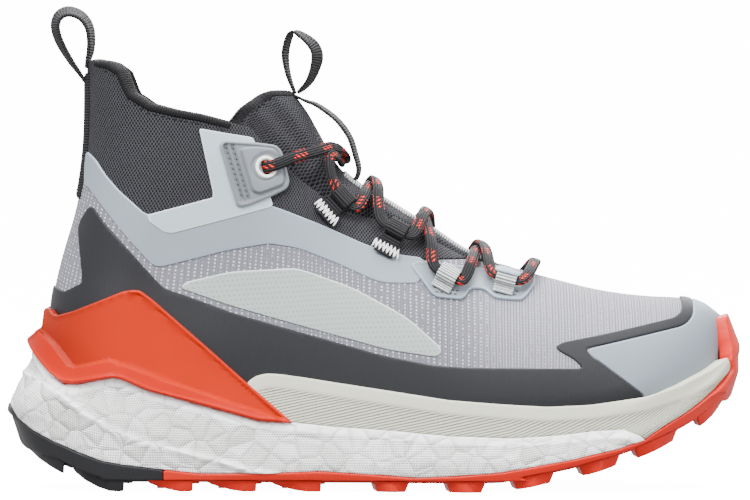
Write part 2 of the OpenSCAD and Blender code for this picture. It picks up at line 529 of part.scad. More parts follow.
// ---- fabrics, stiffeners and overlays ----
EVERYWHERE = [[-200, 0], [200, 0], [200, 300], [-200, 300]];
HEEL_STIFF = [[-150, 0], [-150, 100], [-116, 100], [-96, 88], [-76, 60], [-72, 0]];
TOE_STIFF = [[104, 0], [108, 60], [114, 90], [160, 90], [160, 0]];
COLLAR_PAD = [[-140, 119], [-73, 119], [-73, 200], [-140, 200]];
function below(line) = concat([[-200, 0], [-200, line[0][1]]], line, [[200, 97], [200, 0]]);

module lining() {
    color(MESH) trim() difference() {
        trunk(INSIDE, LINING);
        side([for (q = COLLAR_PAD) q + [0.1, -0.1]]);
    }
}
module heel_counter() { color(PALE) film(STIFF - stiff_t, STIFF, HEEL_STIFF); }
module toe_puff() { color(PALE) film(STIFF - stiff_t, STIFF, TOE_STIFF); }
module foam_backing() {
    color(FOAM) trim() difference() {
        trunk(STIFF - stiff_t, STIFF);
        for (t = [HEEL_STIFF, TOE_STIFF, COLLAR_PAD]) side(t);
    }
}
module collar_foam() { color(FOAM) film(STIFF - collar_t, STIFF, COLLAR_PAD); }
module collar_lining() {
    color(DARK) film(STIFF - collar_t - GAP - lining_t, STIFF - collar_t - GAP, COLLAR_PAD);
}
// A roll of knit round the top of the collar
module collar_binding() {
    color(DARK) trim() intersection() {
        difference() {
            layer(STIFF - collar_t - GAP - lining_t, 0.9);
            translate([-61, -80, 0]) cube([300, 160, 300]);
        }
        side(concat([for (q = COLLAR_TOP) q + [0, 0.12]],
            flip([for (q = COLLAR_TOP) q + [0, 2.2]])));
    }
}
module collar_mesh() {
    color(MESH) trim() intersection() {
        trunk(-fabric_t, 0);
        above([for (q = MESH_LOW) q + [0, 0.1]]);
    }
}
// The ripstop is cut into two quarters, joined down the heel, and a vamp
module ripstop(x0, x1, s = "both") {
    color(FABRIC) trim() intersection() {
        trunk(-fabric_t, 0);
        side(below(MESH_LOW), s);
        translate([x0, -80, 0]) cube([x1 - x0, 160, 160]);
    }
}
VAMP_SEAM = 20;
module vamp_shell() { ripstop(VAMP_SEAM, 170); }
module quarter_shell(s) { ripstop(-160, VAMP_SEAM, s); }
module rand_overlay() {
    color(DARK) trim() intersection() {
        layer(GAP, FILM1);
        side(QUARTER);
    }
}
module toe_cap() {
    color(FILM) trim() intersection() {
        layer(GAP, FILM1);
        side(CAP);
    }
}
BAND = concat([[-122, 142.4], [-117, 138.2], [-112.6, 131.5], [-107.4, 125.6], [-94.8, 114.2],
    [-88.2, 107.9], [-84.7, 107.3], [-60.7, 113.5], [-42, 118.4], [-31, 114.1], [-22, 110.5],
    [-5, 102.8], [6.5, 98.5], [19, 96.4]], flip(BAND_LOW));
module ankle_band(s) { color(FILM) film(GAP, FILM1, BAND, s); }
module ankle_panel(s) { color(PALE) film(GAP, FILM1, PANEL, s); }
module side_panel(s) { color(PALE) film(GAP, FILM1, SUPPORT, s); }
module lace_wing(s) { color(FILM) film(FILM1 + GAP, FILM2, WING, s); }
module eyelet_patch(s) { color(FILM) film(FILM1 + GAP, PATCH_TOP, PATCH, s); }

// ---- sole ----
UNDERFOOT = concat(FOAM_LOW, [[113.1, 22.2], [113.1, -10], [-160, -10]]);
module heel_outsole() { color(DARK) rubber(UNDERFOOT, -160, -88.2); }
module forefoot_outsole() { color(ORANGE) rubber(UNDERFOOT, -88, 113.1); }
// The same rubber, where it turns up round the toe
module toe_bumper() { color(ORANGE) rubber(BUMPER, 113.1, 170); }
module foam_midsole() {
    color(FOAM) trim() difference() {
        intersection() {
            sole_block();
            side(concat([for (q = FOAM_LOW) q + [0, 0.12]], [[113.5, 22.4], [113.5, 60], [-160, 60]]));
        }
        body(FILM1 + 0.25, 3.2);
        side(concat([for (q = RIM_LOW) q - [0, 0.12]],
            [[170, 22], [170, 90], [-34.5, 90], [-34.5, 28.7]]));
        side(concat(flip([for (q = CLIP_LOW) q + [-0.1, -0.12]]), [[-34, 90], [-160, 90]]));
    }
}
module midsole_rim() {
    color(RIM) sole_part(concat(flip(RIM_TOP), RIM_LOW, [[113, 22.2], [123, 30.6], [134, 33.5],
        [140.4, 38.1], [148.4, 46.9], [150.2, 49.4], [150.3, 51.8], [149.4, 54]]));
}
module heel_clip() { color(ORANGE) sole_part(concat(CLIP_TOP, CLIP_LOW)); }
module bed(low, high, o, down = 3) {
    trim() intersection() {
        body(o, down);
        side(concat([for (q = FLOOR) q + [0, low]], flip([for (q = FLOOR) q + [0, high]])));
    }
}
module strobel_board() { color(FABRIC) bed(-1.9, -0.2, -0.2); }
module insole() { color(DARK) bed(0.2, 0.2 + insole_t, INSIDE - 0.4); }
LAST = len(STRANDS) - 1;
module lace() { color(DARK) fit() lace_run(TIP, LAST - TIP, lace_w, lace_t); }
module lace_tips() {
    color(DARK) fit() {
        lace_run(0, TIP - 0.02, lace_w - 1, lace_t - 0.2);
        lace_run(LAST - TIP + 0.02, LAST, lace_w - 1, lace_t - 0.2);
    }
}

heel_outsole();
forefoot_outsole();
toe_bumper();
foam_midsole();
midsole_rim();
heel_clip();
strobel_board();
insole();
heel_counter();
toe_puff();
foam_backing();
lining();
collar_foam();
collar_lining();
collar_binding();
collar_mesh();
vamp_shell();
quarter_shell("lateral");  // quarter_shell_lateral
quarter_shell("medial");  // quarter_shell_medial
rand_overlay();
toe_cap();
for (s = [0, 1]) {
    d = 2 * s - 1;
    ankle_band(SIDES[s]);
    ankle_panel(SIDES[s]);
    side_panel(SIDES[s]);
    lace_wing(SIDES[s]);
    eyelet_patch(SIDES[s]);
    eyelet(d);
    for (i = [1:4]) color(i < 3 ? DARK : FILM) lace_loop(i, d);
}
bartacks();
tongue_pad();
tongue_edge();
tongue_strip();
tongue_keeper();
tongue_pull_loop();
heel_pull_loop();
heel_loop_tail();
lace();
lace_tips();
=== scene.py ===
import math
import random

import bmesh
import bpy
import numpy as np
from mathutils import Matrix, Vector
from mathutils.kdtree import KDTree


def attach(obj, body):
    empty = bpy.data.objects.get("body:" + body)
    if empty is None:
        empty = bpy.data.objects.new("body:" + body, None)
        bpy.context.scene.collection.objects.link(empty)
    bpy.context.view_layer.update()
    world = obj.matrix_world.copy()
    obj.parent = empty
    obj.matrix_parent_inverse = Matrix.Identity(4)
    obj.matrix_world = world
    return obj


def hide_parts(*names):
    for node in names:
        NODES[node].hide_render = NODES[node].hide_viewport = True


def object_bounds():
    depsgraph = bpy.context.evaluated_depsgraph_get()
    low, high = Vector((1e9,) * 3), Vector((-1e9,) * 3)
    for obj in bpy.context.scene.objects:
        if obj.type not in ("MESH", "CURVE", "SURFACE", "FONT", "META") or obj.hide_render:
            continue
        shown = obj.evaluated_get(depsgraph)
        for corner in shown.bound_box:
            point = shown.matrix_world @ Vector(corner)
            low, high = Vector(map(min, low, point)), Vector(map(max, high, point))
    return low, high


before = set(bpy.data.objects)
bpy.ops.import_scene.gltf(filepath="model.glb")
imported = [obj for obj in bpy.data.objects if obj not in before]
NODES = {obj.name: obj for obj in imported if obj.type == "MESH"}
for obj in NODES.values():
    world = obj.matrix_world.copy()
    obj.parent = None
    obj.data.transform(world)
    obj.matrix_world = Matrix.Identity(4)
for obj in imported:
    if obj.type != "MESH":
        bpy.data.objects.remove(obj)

CAD_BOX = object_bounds()
random.seed(7)
rng = np.random.default_rng(7)

# ------------------------------------------------------------------ camera, light, floor
# the camera's sensor and lens in mm, and how many metres it sees across
SENSOR, LENS, VIEW_WIDTH = 36, 320, 0.315
# light of the floor and the backdrop that only the camera sees
GLOW = 14.0
scene = bpy.context.scene
cam_data = bpy.data.cameras.new("camera")
cam_data.sensor_width = SENSOR
cam_data.lens = LENS
cam = bpy.data.objects.new("camera", cam_data)
scene.collection.objects.link(cam)
scene.camera = cam
aim = Vector((-0.0003, -0.02, 0.1005))
distance = VIEW_WIDTH * LENS / SENSOR
elevation = math.radians(1.0)
cam.location = aim + distance * Vector((0, -math.cos(elevation), math.sin(elevation)))
cam.rotation_euler = (aim - cam.location).to_track_quat("-Z", "Y").to_euler()
cam_data.clip_end = 400


def softbox(name, place, size, power, target=(0, 0, 0.08)):
    data = bpy.data.lights.new(name, "AREA")
    data.shape = "RECTANGLE"
    data.size, data.size_y = size
    data.energy = power
    lamp = bpy.data.objects.new(name, data)
    lamp.location = place
    lamp.rotation_euler = (Vector(target) - Vector(place)).to_track_quat("-Z", "Y").to_euler()
    scene.collection.objects.link(lamp)


softbox("key", (-0.5, -1.1, 1.3), (0.9, 0.7), 72)
softbox("fill", (1.1, -1.2, 0.7), (1.0, 0.9), 24)
softbox("top", (0.1, 0.2, 1.6), (1.2, 0.8), 62)
softbox("rim", (0.2, 1.3, 0.8), (1.4, 0.6), 26)

world = bpy.data.worlds.new("studio")
scene.world = world
world.use_nodes = True
sky = world.node_tree
backdrop = sky.nodes["Background"].inputs
backdrop["Color"].default_value = (1, 1, 1, 1)
to = sky.nodes.new("ShaderNodeTexCoord")
axis = sky.nodes.new("ShaderNodeSeparateXYZ")
rise = sky.nodes.new("ShaderNodeMapRange")
for socket, value in zip(rise.inputs, (0, -0.7, 0.7, 0.85, 1.7)):
    socket.default_value = value
sky.links.new(to.outputs["Generated"], axis.inputs[0])
sky.links.new(axis.outputs["Z"], rise.inputs["Value"])
# as with the floor, the backdrop is white to the eye alone
eye = sky.nodes.new("ShaderNodeLightPath")
seen = sky.nodes.new("ShaderNodeMath")
seen.operation = "MULTIPLY_ADD"
seen.inputs[1].default_value = GLOW
sky.links.new(eye.outputs["Is Camera Ray"], seen.inputs[0])
sky.links.new(rise.outputs[0], seen.inputs[2])
sky.links.new(seen.outputs[0], backdrop["Strength"])

# ------------------------------------------------------------------ pieces
SIDES = ((-1, "lateral"), (1, "medial"))


def corner_uv(faces, uv):
    return np.asarray(uv, float)[[i for face in faces for i in face]]


def join(parts):
    """[(verts, faces, uv)] as one"""
    verts, faces, uvs, n = [], [], [], 0
    for v, f, u in parts:
        verts.append(v)
        uvs.append(corner_uv(f, u) if len(u) == len(v) else u)
        faces += [[int(i) + n for i in face] for face in f]
        n += len(v)
    return np.concatenate(verts), faces, np.concatenate(uvs)


def made(name, parts, mat, body, *nodes, sharp=40, **fields):
    """A piece that rides a body in place of some nodes. Its parts are (verts, faces, uv), in mm in
    the drawing's frame, with a uv for each vertex or each face corner. Fields hold a value for
    each vertex."""
    verts, faces, uv = join(parts)
    if name in NODES:
        name += "_detail"
    me = bpy.data.meshes.new(name)
    me.from_pydata(((verts + SHIFT) * 0.001).tolist(), [], faces)
    me.uv_layers.new(name="UVMap").data.foreach_set("uv", uv.astype(np.float32).ravel())
    for word, values in fields.items():
        me.attributes.new(word, "FLOAT", "POINT").data.foreach_set("value", np.asarray(values, np.float32))
    me.shade_smooth()
    if sharp:
        me.set_sharp_from_angle(angle=math.radians(sharp))
    me.materials.append(mat)
    ob = bpy.data.objects.new(name, me)
    scene.collection.objects.link(ob)
    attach(ob, body)
    if nodes:
        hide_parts(*nodes)
    return ob


# ------------------------------------------------------------------ the boot's shape, in mm
SHIFT = np.array([-0.55, -0.05, 0.0])
X_HEEL, X_TOE, X_SHEAR = -136.3, 146.5, -20
TOE_ROUND, TOE_POWER = 58, 2.3
HEEL_LINE = [[30, -128], [45, -134], [60, -136.3], [77, -136.3], [92, -133.4], [103, -130.4],
             [113, -127.4], [122, -125.2], [131, -123.5], [145, -121.9], [160, -121.4],
             [185, -121.2], [222, -119]]
FLOOR = [[-136.3, 37], [-120, 34], [-100, 32.5], [-60, 31], [-20, 28.5], [20, 25.5], [50, 24],
         [80, 25], [105, 29.5], [125, 36], [138, 42], [146.5, 47]]
RIDGE = [[-136.3, 222], [-100, 214], [-80, 203], [-60, 190], [-45, 175.5], [-33, 163.5],
         [-23, 148.5], [-15, 135.5], [-5, 127], [6.5, 120.5], [14.5, 115.5], [25, 109],
         [38, 100.5], [50, 95.5], [63, 91.5], [76, 88], [91, 84.2], [104, 81.9], [117, 80.6],
         [126, 80.2], [133, 79.4], [139.3, 77.2], [143.8, 74], [146.5, 71.8]]
HALF_LATERAL = [[-136.3, 37], [-110, 37.5], [-75, 38], [-40, 38.5], [-10, 40.5], [20, 45],
                [45, 50], [65, 52.5], [85, 53], [105, 51.5], [125, 48], [146.5, 43]]
HALF_MEDIAL = [[-136.3, 37], [-110, 37], [-75, 36.5], [-40, 34.5], [-10, 36], [20, 42.5],
               [45, 48.5], [65, 51.5], [85, 52], [105, 50.5], [125, 47.5], [146.5, 43]]
SQUARE = [[-136.3, 10], [-80, 10], [-60, 5.5], [-45, 3.4], [-30, 2.5], [0, 2.5], [40, 2.6],
          [80, 2.8], [146.5, 2.6]]
SHAFT = [[30, 1], [60, 1], [90, 0.93], [115, 0.94], [135, 0.95], [160, 0.93], [222, 0.93]]
MIDDLE = [[-136.3, 0], [-60, -0.5], [0, -1], [60, 0], [110, 3], [146.5, 7]]
HEEL_ROUND = [[30, 34], [80, 34], [150, 42], [222, 42]]


def arr(*p):
    return np.array(p, float)


def hermite(a, b, slope_a, slope_b, q):
    """The cubic from a to b with these slopes, at q from 0 to 1"""
    return (a * (2 * q**3 - 3 * q**2 + 1) + b * (3 * q**2 - 2 * q**3)
            + slope_a * (q**3 - 2 * q**2 + q) + slope_b * (q**3 - q**2))


def curve(table, at):
    """Smooth line through a table of [place, value]"""
    x, y = np.asarray(table, float).T
    lo = np.clip(np.arange(len(x)) - 1, 0, None)
    hi = np.clip(np.arange(len(x)) + 1, None, len(x) - 1)
    m = (y[hi] - y[lo]) / (x[hi] - x[lo])
    at = np.clip(at, x[0], x[-1])
    i = np.clip(np.searchsorted(x, at, "right") - 1, 0, len(x) - 2)
    h = x[i + 1] - x[i]
    return hermite(y[i], y[i + 1], h * m[i], h * m[i + 1], (at - x[i]) / h)


def spline(p, u):
    """Smooth line through the rows of p, where u counts the rows"""
    last = len(p) - 1
    i = np.clip(np.floor(u).astype(int), 0, last - 1)
    q = np.reshape(u - i, (-1,) + (1,) * (p.ndim - 1))
    a, b = p[i], p[i + 1]
    return hermite(a, b, (b - p[np.maximum(i - 1, 0)]) / 2, (p[np.minimum(i + 2, last)] - a) / 2, q)


def through(points, steps):
    """A smooth line through a few places"""
    return spline(np.asarray(points, float), np.arange((len(points) - 1) * steps + 1) / steps)


def run_of(p):
    """Length along a line, or along rows of lines, up to each point"""
    step = np.linalg.norm(np.diff(p, axis=0), axis=-1)
    return np.concatenate([np.zeros_like(step[:1]), np.cumsum(step, axis=0)])


def bunched(n):
    """n + 1 places from 0 to 1, closer together towards both ends"""
    return (1 - np.cos(np.pi * np.arange(n + 1) / n)) / 2


def smoothstep(x, low, high):
    q = np.clip((x - low) / (high - low), 0, 1)
    return q * q * (3 - 2 * q)


def round_over(q):
    """A quarter circle from 0 at q = 0 to 1 at q = 1"""
    return np.sqrt(np.clip(1 - (1 - q) ** 2, 0, 1))


def cap(q, e=2.0):
    """As round_over, flat from q = 1 on, with another power"""
    return np.sqrt(np.clip(1 - np.power(np.clip(1 - q, 0, None), e), 0, None))


def lean(z):
    """How far the heel's line lies ahead of X_HEEL"""
    return curve(HEEL_LINE, z) - X_HEEL


def fade(x0):
    """Share of the lean that a station follows"""
    return np.clip((X_SHEAR - x0) / (X_SHEAR - X_HEEL), 0, 1)


def upper(x0, w):
    """Outer surface of the upper: x0 is the station, w -1 outer sole edge, 0 ridge, 1 inner sole edge"""
    x0, w = np.broadcast_arrays(np.asarray(x0, float), np.asarray(w, float))
    n = 1 - w * w
    zf = curve(FLOOR, x0)
    z = zf + n * (curve(RIDGE, x0) - zf)
    half = np.where(w < 0, curve(HALF_LATERAL, x0), curve(HALF_MEDIAL, x0))
    arch = np.sqrt(np.clip(1 - np.power(n, curve(SQUARE, x0)), 0, None))
    ends = cap((x0 - X_HEEL) / curve(HEEL_ROUND, z)) * cap((X_TOE - x0) / TOE_ROUND, TOE_POWER)
    tuck = 1 - 0.1 * np.clip(1 - (z - zf) / 16, 0, 1) ** 2
    shaft = 1 + (curve(SHAFT, z) - 1) * np.clip((-x0 - 10) / 60, 0, 1)
    y = curve(MIDDLE, x0) + np.sign(w) * half * arch * ends * tuck * shaft
    return np.stack([x0 + lean(z) * fade(x0), y, z], -1)


def unit(v):
    return v / np.maximum(np.linalg.norm(v, axis=-1, keepdims=True), 1e-9)


def frame_at(x0, w):
    """Point, forward tangent and outward normal of the upper"""
    dx = upper(x0 + 0.4, w) - upper(x0 - 0.4, w)
    dw = upper(x0, w + 0.01) - upper(x0, w - 0.01)
    return upper(x0, w), unit(dx), unit(np.cross(dx, dw))


def share_at(x0, z):
    """w of a height at a station, without its sign"""
    zf = curve(FLOOR, x0)
    return np.sqrt(1 - np.clip((z - zf) / (curve(RIDGE, x0) - zf), 0, 1))


def on_side(x, z, side):
    """frame_at for places seen from the side"""
    x0 = x
    for _ in range(30):
        x0 = x - lean(z) * fade(x0)
    return frame_at(x0, side * share_at(x0, z))


# ------------------------------------------------------------------ outlines seen from the side
def rounded(points, r, steps=5):
    """An outline with its corners rounded"""
    p = np.asarray(points, float)
    out = []
    for i in range(len(p)):
        a, b, c = p[i - 1], p[i], p[(i + 1) % len(p)]
        la, lc = np.linalg.norm(a - b), np.linalg.norm(c - b)
        d = min(r, 0.48 * la, 0.48 * lc)
        s, e = b + (a - b) * d / la, b + (c - b) * d / lc
        for q in np.arange(steps + 1) / steps:
            out.append((1 - q) ** 2 * s + 2 * q * (1 - q) * b + q * q * e)
    return np.array(out)


def gap_to(starts, ends, x, z):
    """Distance to the nearest of some straight pieces"""
    best = np.full(x.shape, 1e9)
    for (ax, az), (bx, bz) in zip(starts, ends):
        ex, ez = bx - ax, bz - az
        t = np.clip(((x - ax) * ex + (z - az) * ez) / (ex * ex + ez * ez + 1e-12), 0, 1)
        best = np.minimum(best, (x - ax - t * ex) ** 2 + (z - az - t * ez) ** 2)
    return np.sqrt(best)


def sign_in(outline, x, z):
    """1 inside a closed outline and -1 outside"""
    odd = np.zeros(x.shape, bool)
    for (ax, az), (bx, bz) in zip(outline, np.roll(outline, -1, 0)):
        if az != bz:
            odd ^= ((az > z) != (bz > z)) & (x < (bx - ax) * (z - az) / (bz - az) + ax)
    return np.where(odd, 1, -1)


def inside(outline, x, z):
    """Distance inside a closed outline, in mm, negative outside"""
    return sign_in(outline, x, z) * gap_to(outline, np.roll(outline, -1, 0), x, z)


def line_distance(line, x, z):
    """Distance to a line that runs forward, positive above it"""
    far, high = 300, 900
    over = [line[0] - [far, 0], *line, line[-1] + [far, 0], line[-1] + [far, high], line[0] + [-far, high]]
    return sign_in(np.array(over), x, z) * gap_to(line[:-1], line[1:], x, z)


# ------------------------------------------------------------------ trimmed skins
def cells(i):
    """The four corners of every cell in a grid of indices, in turn round the cell"""
    return [k.ravel() for k in (i[:-1, :-1], i[1:, :-1], i[1:, 1:], i[:-1, 1:])]


def edges_of(t):
    return np.concatenate([t[:, [0, 1]], t[:, [1, 2]], t[:, [2, 0]]])


class Skin:
    """Triangles over a grid of surface points, which can be cut along any level of a scalar"""

    def __init__(self, p, n, uv, faces):
        self.p, self.n, self.uv, self.t = p, n, uv, faces

    def cut(self, s, levels, keep_above=0.0, more=()):
        """Splits along the levels of s, and keeps s above keep_above. Returns s at the new points."""
        data = [self.p, self.n, self.uv, s[:, None]] + [m[:, None] for m in more]
        widths = [d.shape[1] for d in data]
        v = np.concatenate(data, 1)
        col = sum(widths[:3])
        t = self.t
        for level in levels:
            above = v[:, col] > level
            count = above[t].sum(1)
            mixed = (count == 1) | (count == 2)
            tri = t[mixed]
            if len(tri):
                flags = above[tri]
                lone_is = (count[mixed] == 1)[:, None]
                lone = np.argmax(flags == lone_is, 1)
                r = np.arange(len(tri))
                a, b, c = tri[r, lone], tri[r, (lone + 1) % 3], tri[r, (lone + 2) % 3]
                e1 = np.stack([np.minimum(a, b), np.maximum(a, b)], 1)
                e2 = np.stack([np.minimum(a, c), np.maximum(a, c)], 1)
                edges, back = np.unique(np.concatenate([e1, e2]), axis=0, return_inverse=True)
                back = back.ravel()
                va, vb = v[edges[:, 0]], v[edges[:, 1]]
                q = (level - va[:, col]) / (vb[:, col] - va[:, col])
                new = va + (vb - va) * q[:, None]
                new[:, col] = level
                ab, ac = len(v) + back[: len(tri)], len(v) + back[len(tri):]
                v = np.concatenate([v, new])
                t = np.concatenate([t[~mixed], np.stack([a, ab, ac], 1), np.stack([ab, b, c], 1),
                                    np.stack([ab, c, ac], 1)])
        mid = v[t, col].mean(1)
        t = t[mid > keep_above]
        used, back = np.unique(t, return_inverse=True)
        v, t = v[used], back.reshape(-1, 3)
        parts = np.split(v, np.cumsum(widths)[:-1], 1)
        out = Skin(parts[0], unit(parts[1]), parts[2], t)
        return out, parts[3][:, 0], [m[:, 0] for m in parts[4:]]

    def finer(self, d, times=1):
        """The same surface with every triangle split in four, and a field at its points"""
        out = self
        for _ in range(times):
            edges, back = np.unique(np.sort(edges_of(out.t), 1), axis=0, return_inverse=True)
            ab, bc, ca = np.split(back.ravel() + len(out.p), 3)
            a, b, c = out.t.T
            half = [np.concatenate([q, (q[edges[:, 0]] + q[edges[:, 1]]) / 2])
                    for q in (out.p, out.n, out.uv, d)]
            d = half[3]
            corners = ((a, ab, ca), (ab, b, bc), (ca, bc, c), (ab, bc, ca))
            t = np.concatenate([np.stack(k, 1) for k in corners])
            out = Skin(half[0], unit(half[1]), half[2], t)
        return out, d

    def solid(self, top, bottom):
        """A closed mesh between two offsets from the surface"""
        n = len(self.p)
        v = np.concatenate([self.p + self.n * np.broadcast_to(k, (n,))[:, None] for k in (top, bottom)])
        e = edges_of(self.t)
        _, first, count = np.unique(np.sort(e, 1), axis=0, return_index=True, return_counts=True)
        rim = e[first[count == 1]]
        faces = self.t.tolist() + (self.t[:, ::-1] + n).tolist()
        faces += np.stack([rim[:, 1], rim[:, 0], rim[:, 0] + n, rim[:, 1] + n], 1).tolist()
        return v, faces, np.concatenate([self.uv, self.uv])


def grid_skin(p, closed=False):
    """p is (rows, columns, 3)"""
    rows, cols = p.shape[:2]
    if closed:
        ext = np.concatenate([p[-1:], p, p[:1]])
        du = ext[2:] - ext[:-2]
    else:
        du = np.gradient(p, axis=0)
    n = unit(np.cross(du, np.gradient(p, axis=1)))
    uv = np.stack([run_of(p), run_of(p.swapaxes(0, 1)).T], -1)
    i = np.arange(rows * cols).reshape(rows, cols)
    if closed:
        i = np.concatenate([i, i[:1]])
    a, b, c, d = cells(i)
    t = np.concatenate([np.stack([a, b, c], 1), np.stack([a, c, d], 1)])
    return Skin(p.reshape(-1, 3), n.reshape(-1, 3), uv.reshape(-1, 2), t)


NI, NK = ((330, 104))
stations = X_HEEL + (X_TOE - X_HEEL) * bunched(NI)
w_grid = np.linspace(-1, 1, 2 * NK + 1)
w_grid = np.sign(w_grid) * np.abs(w_grid) ** 0.93
GRID = upper(stations[:, None], w_grid[None, :])
UPPER = grid_skin(GRID)
# the two end stations are straight lines, so their normals come from the shape itself
normals = UPPER.n.reshape(NI + 1, 2 * NK + 1, 3)
for end, row, toward in ((0, 1, -1), (NI, NI - 1, 1)):
    sideways = unit(GRID[row] - GRID[row][::-1])
    nrm = unit(np.cross(-sideways, np.gradient(GRID[end], axis=0)))
    nrm = np.where((nrm[:, :1] * toward) < 0, -nrm, nrm)
    nrm[NK] = (toward, 0, 0.2)
    normals[end] = unit(nrm)
UPPER.n = normals.reshape(-1, 3)
# a fabric grid measured up from the sole on either side, so that threads keep their size
uv = UPPER.uv.reshape(NI + 1, 2 * NK + 1, 2)
uv[..., 0] = run_of(GRID[:, NK // 2])[:, None]
climb = uv[:, NK:NK + 1, 1].copy()
uv[:, NK:, 1] = climb * (uv[:, -1:, 1] - uv[:, NK:, 1]) / np.maximum(uv[:, -1:, 1] - climb, 1e-6)
UPPER.uv = uv.reshape(-1, 2)
UX, UY, UZ = UPPER.p.T
U_SIDE = np.tile(w_grid, NI + 1)


def bevel(s, inner, outer, r, base=0.3):
    """Height of a welded edge: it starts a little up and rolls over to the full thickness"""
    return inner + (outer - inner) * (base + (1 - base) * round_over(np.clip(s / r, 0, 1)))


def overlay(name, s, inner, outer, mat, *nodes, r=0.6, side=0, rows=(0.12, 0.3, 0.6), extra=None, fine=0):
    """A layer of the upper where s is above 0, from inner to outer, with a rolled edge of radius r.
    It takes the place of the node of its name, unless others are given."""
    if side:
        s = np.minimum(s, side * U_SIDE * 40)
    cut, d, _ = UPPER.cut(s, [0.0] + [r * k for k in rows] + [r])
    cut, d = cut.finer(d, fine)
    top = bevel(d, inner, outer, r)
    if extra is not None:
        top = top + extra(cut, d)
    return made(name, [cut.solid(top, inner - 0.25)], mat, "boot", *(nodes or (name,)), edge=np.tile(d, 2))


# ------------------------------------------------------------------ outlines, in mm
COLLAR_TOP = arr([-140, 182], [-119.5, 180.5], [-112, 179.5], [-107, 176.5], [-103, 167],
                 [-100, 165.5], [-94.5, 162], [-84, 159.4], [-73, 157.4], [-60, 154], [-30, 146.2])
MESH_LOW = arr([-140, 146], [-122, 142.6], [-117, 138.4], [-112.5, 131.7], [-107.3, 125.8],
               [-94.7, 114.6], [-67, 122.6], [-42, 118.6], [-31, 114.3], [-22, 110.7], [-5, 103],
               [6.5, 98.7], [21, 96.8], [60, 97])
BAND_LOW = arr([-122, 127.5], [-120, 126.8], [-112.6, 117.4], [-103, 105.6], [-93.5, 95.2],
               [-91, 93.8], [-88, 94], [-60.7, 100.8], [-44, 103.6], [-31.3, 101.4], [-16, 95.3],
               [-0.6, 88.4], [4, 87], [19, 86.8])
PANEL = arr([-73.3, 151.6], [-66, 150.2], [-51, 147.6], [-50, 145], [-46, 132], [-43.4, 122],
            [-42.2, 118.9], [-60.7, 113.9], [-84.6, 107.7], [-88, 108.3], [-97, 114.9], [-67, 122.8])
QUARTER = arr([-124.4, 111], [-119, 120.3], [-112.6, 111.5], [-104, 102.3], [-95, 92.2],
              [-91, 88], [-88, 84.8], [-78, 81.5], [-59, 74.5], [-34, 67.4], [-19, 63.2], [5, 56.5],
              [25, 52.7], [40, 51.9], [86, 51.6], [86, 52.5], [83, 55.4], [76.5, 59], [75.4, 60.6],
              [78, 62.3], [98, 66], [126, 72], [129, 74.4], [129.6, 77], [128.3, 90], [133.8, 90],
              [134.2, 76.7], [134, 73.3], [131.7, 70.1], [128.6, 68.5], [88.7, 59.9], [88.4, 59.2],
              [90, 56.7], [94, 54.1], [113, 39.9], [113, 20], [-150, 20], [-150, 88], [-135, 85.4],
              [-130.4, 82.5], [-124.3, 85.9], [-122, 87], [-124.2, 106.7])
CAP = arr([113.2, 20], [113.2, 40], [94.2, 54.3], [90.2, 56.9], [88.8, 59.5], [128.6, 68.2],
          [131.9, 69.9], [134.3, 73.2], [134.5, 76.7], [134.1, 90], [160, 90], [160, 20])
SUPPORT = arr([-81, 84.8], [-79.5, 87.2], [-60, 91.8], [-34, 93.2], [-29, 92.2], [-8, 84.6],
              [14, 72.5], [27.5, 60.5], [28, 57.8], [25.5, 56.4], [6, 59.2], [-34, 70.2], [-60, 77.6])
WING = arr([15, 93.9], [17, 95.2], [21.6, 95.2], [40.7, 92.4], [67.4, 89.2], [67.2, 85.5],
           [63.4, 80.9], [61.3, 79.2], [50.2, 80], [45.9, 84], [39.9, 84.2], [38, 80.9],
           [35.9, 79.7], [24.9, 80.9])
PATCH = arr([-63.6, 146.5], [-51, 145.4], [-41.8, 144.1], [-39.3, 141.3], [-35.9, 128.9],
            [-36.9, 126], [-43.7, 122.7], [-53.8, 118.8], [-56.7, 118.6], [-57.9, 119.8],
            [-64.9, 143.9])
THROAT = arr([-66, 31], [-60, 31], [-50, 30.2], [-40, 28.5], [-30, 27], [-15, 23.5], [0, 20.5],
             [20, 18], [40, 14.5], [50, 10.5], [55, 5], [57, 0])
TONGUE = arr([-66, 140], [-61, 152.5], [-52, 163], [-44, 169.3], [-40, 170], [-34, 170],
             [60, 140], [64, 84], [20, 60], [-60, 110])


def throat_gap(x, y):
    """Distance outside the throat's edge, seen from above"""
    (back, _), (front, _) = THROAT[[0, -1]]
    place = np.arange(back, front + 1)
    slope = np.interp(x, place, np.gradient(np.interp(place, *THROAT.T)))
    d = (np.abs(y - curve(MIDDLE, x)) - np.interp(x, *THROAT.T)) / np.sqrt(1 + slope**2)
    return np.where(x > front, np.hypot(x - front, y), d)


below_collar = -line_distance(COLLAR_TOP, UX, UZ)
# the throat is open above a line down the front of the boot
THROAT_LINE = arr([-66, 139], [-50, 125], [-20, 100], [40, 84], [70, 84])
GAP = np.maximum(np.interp(UX, *THROAT_LINE.T) - UZ, throat_gap(UX, UY))
GAP = np.maximum(GAP, -64 - UX)
TRUNK = np.minimum(below_collar, GAP)
S_MESH = line_distance(MESH_LOW, UX, UZ)

